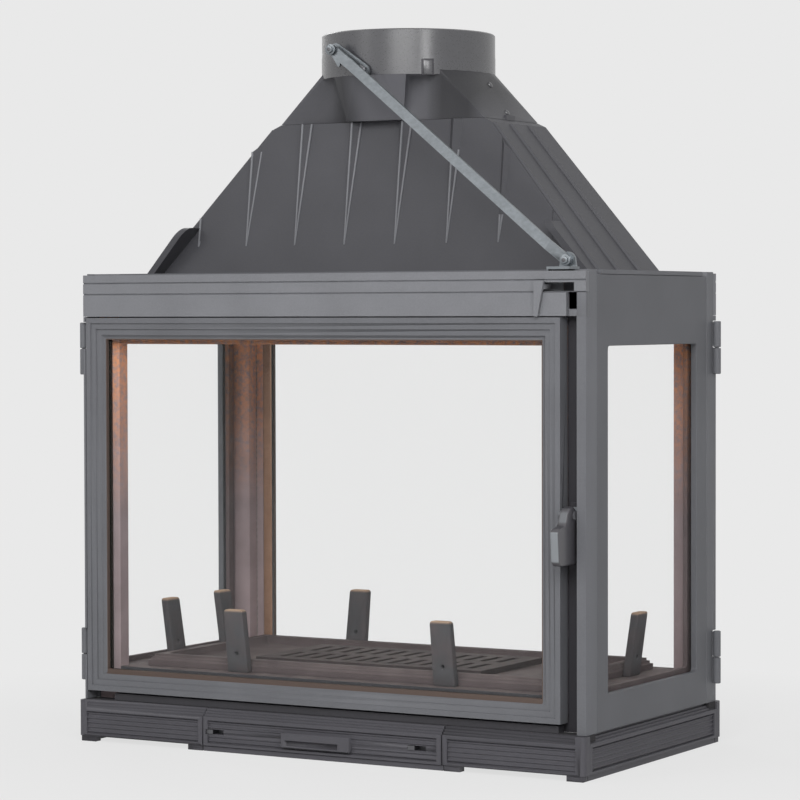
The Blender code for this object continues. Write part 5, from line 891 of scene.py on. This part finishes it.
class DressHandles(bpy.types.Operator):
    """Paint the two door handles"""

    bl_idname = "insert.dress_handles"
    bl_label = "Door handles"

    def execute(self, context):
        # Handles in dark paint whose front and back facets carry a painted highlight.
        paint = stove_paint("stove_paint_handles", context.scene.insert_finishes.dark_paint_and_rebate_shade,
                            roughness=0.33, specular=0.8, front_facet_highlight=0.75)
        low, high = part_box("front_handle")
        for end, sign in ENDS.items():
            node = f"{end}_handle"
            tail = cut_off(node_copy(node), (0, -HANDLE_SPLIT * sign, 0), (0, -sign, 0))
            finished(f"{node}_tail", tail, paint, node, (node,))
            grip = bmesh.new()
            profile = [grip.verts.new((low.x, y * MM, z * MM)) for y, z in HANDLE_PROFILE]
            face = grip.faces.new(profile)
            made = bmesh.ops.extrude_face_region(grip, geom=[face])["geom"]
            moved = [v for v in made if isinstance(v, bmesh.types.BMVert)]
            bmesh.ops.translate(grip, vec=(high.x - low.x, 0, 0), verts=moved)
            bmesh.ops.recalc_face_normals(grip, faces=grip.faces)
            soften(grip, context.scene.insert_fittings.handle_edge, 4)
            turn_end(grip, sign)
            finished(f"{node}_grip", grip, paint, node, (node,), 32)
        return {"FINISHED"}


class DressPanes(bpy.types.Operator):
    """Make the four panes clear and the door seals rope"""

    bl_idname = "insert.dress_panes"
    bl_label = "Panes and seals"

    def execute(self, context):
        finishes = context.scene.insert_finishes
        pane = clear_ceramic("clear_glass_ceramic", finishes.glass)
        rope = braided_rope("knitted_glass_fibre_rope", finishes.rope)
        finish_nodes(["front_door_glass", "rear_door_glass", "side_glass_left",
                      "side_glass_right"], pane)
        finish_nodes(["front_door_seal", "rear_door_seal"], rope)
        return {"FINISHED"}


# Studio

CAMERA_PLACE = (1.878, -3.247, 0.535)
CAMERA_YAW = math.radians(30.01)
CAMERA_DIP = math.radians(1.67)
CAMERA_ROLL = math.radians(-0.14)
CAMERA_LENS_MM = 135.8

# In metres: half the floor, and where round the middle its shadow starts and ends to fade.
FLOOR_HALF_WIDTH = 12
FADE_START, FADE_END = 0.40, 0.90
FILL_STRENGTH = 0.34
# Each lamp's name, place, width, height and watts.
LAMPS = (("front_softbox", (1.35, -3.2, 2.4), 2.2, 2.2, 88),
         ("left_softbox", (-1.7, -3.0, 2.2), 0.9, 1.6, 14),
         ("side_softbox", (2.75, -2.1, 1.7), 0.3, 2.0, 18),
         ("rear_softbox", (-3.0, 2.4, 2.1), 1.2, 1.6, 26))
LAMP_AIM = Vector((0.0, 0.0, 0.45))


def seen_directly(add):
    """1 for camera, glossy and transmission rays, and 0 for the light that reaches surfaces."""
    path = add("ShaderNodeLightPath").outputs
    glossy = add("ShaderNodeMath", {0: path["Is Glossy Ray"], 1: path["Is Transmission Ray"]},
                 operation="MAXIMUM").outputs[0]
    return add("ShaderNodeMath", {0: path["Is Camera Ray"], 1: glossy},
               operation="MAXIMUM").outputs[0]


def studio_floor(colour):
    """Matt paper sweep.

    Near the insert it takes the shadow, and further off it melts into the backdrop.
    """
    material, add, place = start_material("studio_paper")
    fibre = add("ShaderNodeTexNoise", {"Vector": place, "Scale": 1 / (3 * MM)}).outputs[0]
    paper = add("ShaderNodeBsdfDiffuse",
                {0: layered(add, rgba(colour, 0.97), (fibre, rgba(colour)))})
    glow = add("ShaderNodeEmission", {0: rgba(colour), 1: 1.0})
    parts = add("ShaderNodeSeparateXYZ", {0: place}).outputs
    flat = add("ShaderNodeCombineXYZ", {0: parts[0], 1: parts[1]})
    reach = add("ShaderNodeVectorMath", {0: flat.outputs[0]}, operation="LENGTH")
    fade = add("ShaderNodeMapRange", {0: reach.outputs["Value"], 1: FADE_START, 2: FADE_END,
                                      3: 0.85, 4: 1.0})
    share = add("ShaderNodeMath", {0: fade.outputs[0], 1: seen_directly(add)},
                operation="MULTIPLY")
    both = add("ShaderNodeMixShader",
               {0: share.outputs[0], 1: paper.outputs[0], 2: glow.outputs[0]})
    add("ShaderNodeOutputMaterial", {"Surface": both.outputs[0]})
    return material


def add_lamp(name, place, width, height, watts):
    """Rectangular softbox that is aimed at the insert."""
    light = bpy.data.lights.new(name, "AREA")
    light.shape = "RECTANGLE"
    light.size, light.size_y = width, height
    light.energy = watts
    lamp = bpy.data.objects.new(name, light)
    bpy.context.scene.collection.objects.link(lamp)
    lamp.location = place
    lamp.rotation_euler = (LAMP_AIM - Vector(place)).to_track_quat("-Z", "Y").to_euler()


class SetStage(bpy.types.Operator):
    """Lay the floor, light the studio and set the camera"""

    bl_idname = "insert.set_stage"
    bl_label = "Studio"

    def execute(self, context):
        scene = context.scene
        finishes = scene.insert_finishes
        shape = bmesh.new()
        bmesh.ops.create_grid(shape, x_segments=2, y_segments=2, size=FLOOR_HALF_WIDTH)
        mesh = bpy.data.meshes.new("studio_floor")
        shape.to_mesh(mesh)
        shape.free()
        mesh.materials.append(studio_floor(finishes.backdrop))
        floor = bpy.data.objects.new("studio_floor", mesh)
        scene.collection.objects.link(floor)

        world = bpy.data.worlds.new("studio")
        scene.world = world
        world.use_nodes = True
        world.node_tree.nodes.clear()
        add = partial(add_node, world.node_tree)
        backdrop = add("ShaderNodeBackground", {0: rgba(finishes.backdrop), 1: 1.0})
        fill = add("ShaderNodeBackground", {0: (1.0, 1.0, 1.0, 1.0), 1: FILL_STRENGTH})
        both = add("ShaderNodeMixShader",
                   {0: seen_directly(add), 1: fill.outputs[0], 2: backdrop.outputs[0]})
        add("ShaderNodeOutputWorld", {0: both.outputs[0]})

        for lamp in LAMPS:
            add_lamp(*lamp)

        camera = bpy.data.cameras.new("photo_camera")
        camera.sensor_width = 36.0
        camera.lens = CAMERA_LENS_MM
        camera.clip_start, camera.clip_end = 0.1, 40.0
        viewer = bpy.data.objects.new("photo_camera", camera)
        scene.collection.objects.link(viewer)
        viewer.matrix_world = (Matrix.Translation(CAMERA_PLACE)
                               @ Matrix.Rotation(CAMERA_YAW, 4, "Z")
                               @ Matrix.Rotation(math.pi / 2 - CAMERA_DIP, 4, "X")
                               @ Matrix.Rotation(CAMERA_ROLL, 4, "Z"))
        scene.camera = viewer
        scene.view_settings.view_transform = "Standard"
        return {"FINISHED"}


class InsertPanel(bpy.types.Panel):
    """Settings and steps of the fireplace insert"""

    bl_idname = "VIEW3D_PT_fireplace_insert"
    bl_label = "Fireplace insert"
    bl_space_type = "VIEW_3D"
    bl_region_type = "UI"
    bl_category = "Fireplace insert"

    def draw(self, context):
        layout = self.layout
        for settings in (context.scene.insert_finishes, context.scene.insert_fittings):
            box = layout.box()
            for name in settings.__annotations__:
                box.prop(settings, name)
        for step in STEPS:
            layout.operator(step.bl_idname)


STEPS = (SetStage, DressBody, DressPlinth, DressHood, DressFirebox, DressGear, DressHandles,
         DressPanes)
CLASSES = (FinishSettings, FittingSettings, *STEPS, InsertPanel)


def register():
    for kind in CLASSES:
        bpy.utils.register_class(kind)
    bpy.types.Scene.insert_finishes = PointerProperty(type=FinishSettings)
    bpy.types.Scene.insert_fittings = PointerProperty(type=FittingSettings)


def unregister():
    del bpy.types.Scene.insert_fittings
    del bpy.types.Scene.insert_finishes
    for kind in reversed(CLASSES):
        bpy.utils.unregister_class(kind)


def main():
    """Registers the add-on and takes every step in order."""
    register()
    for step in STEPS:
        group, name = step.bl_idname.split(".")
        getattr(getattr(bpy.ops, group), name)()


if __name__ == "__main__":
    main()
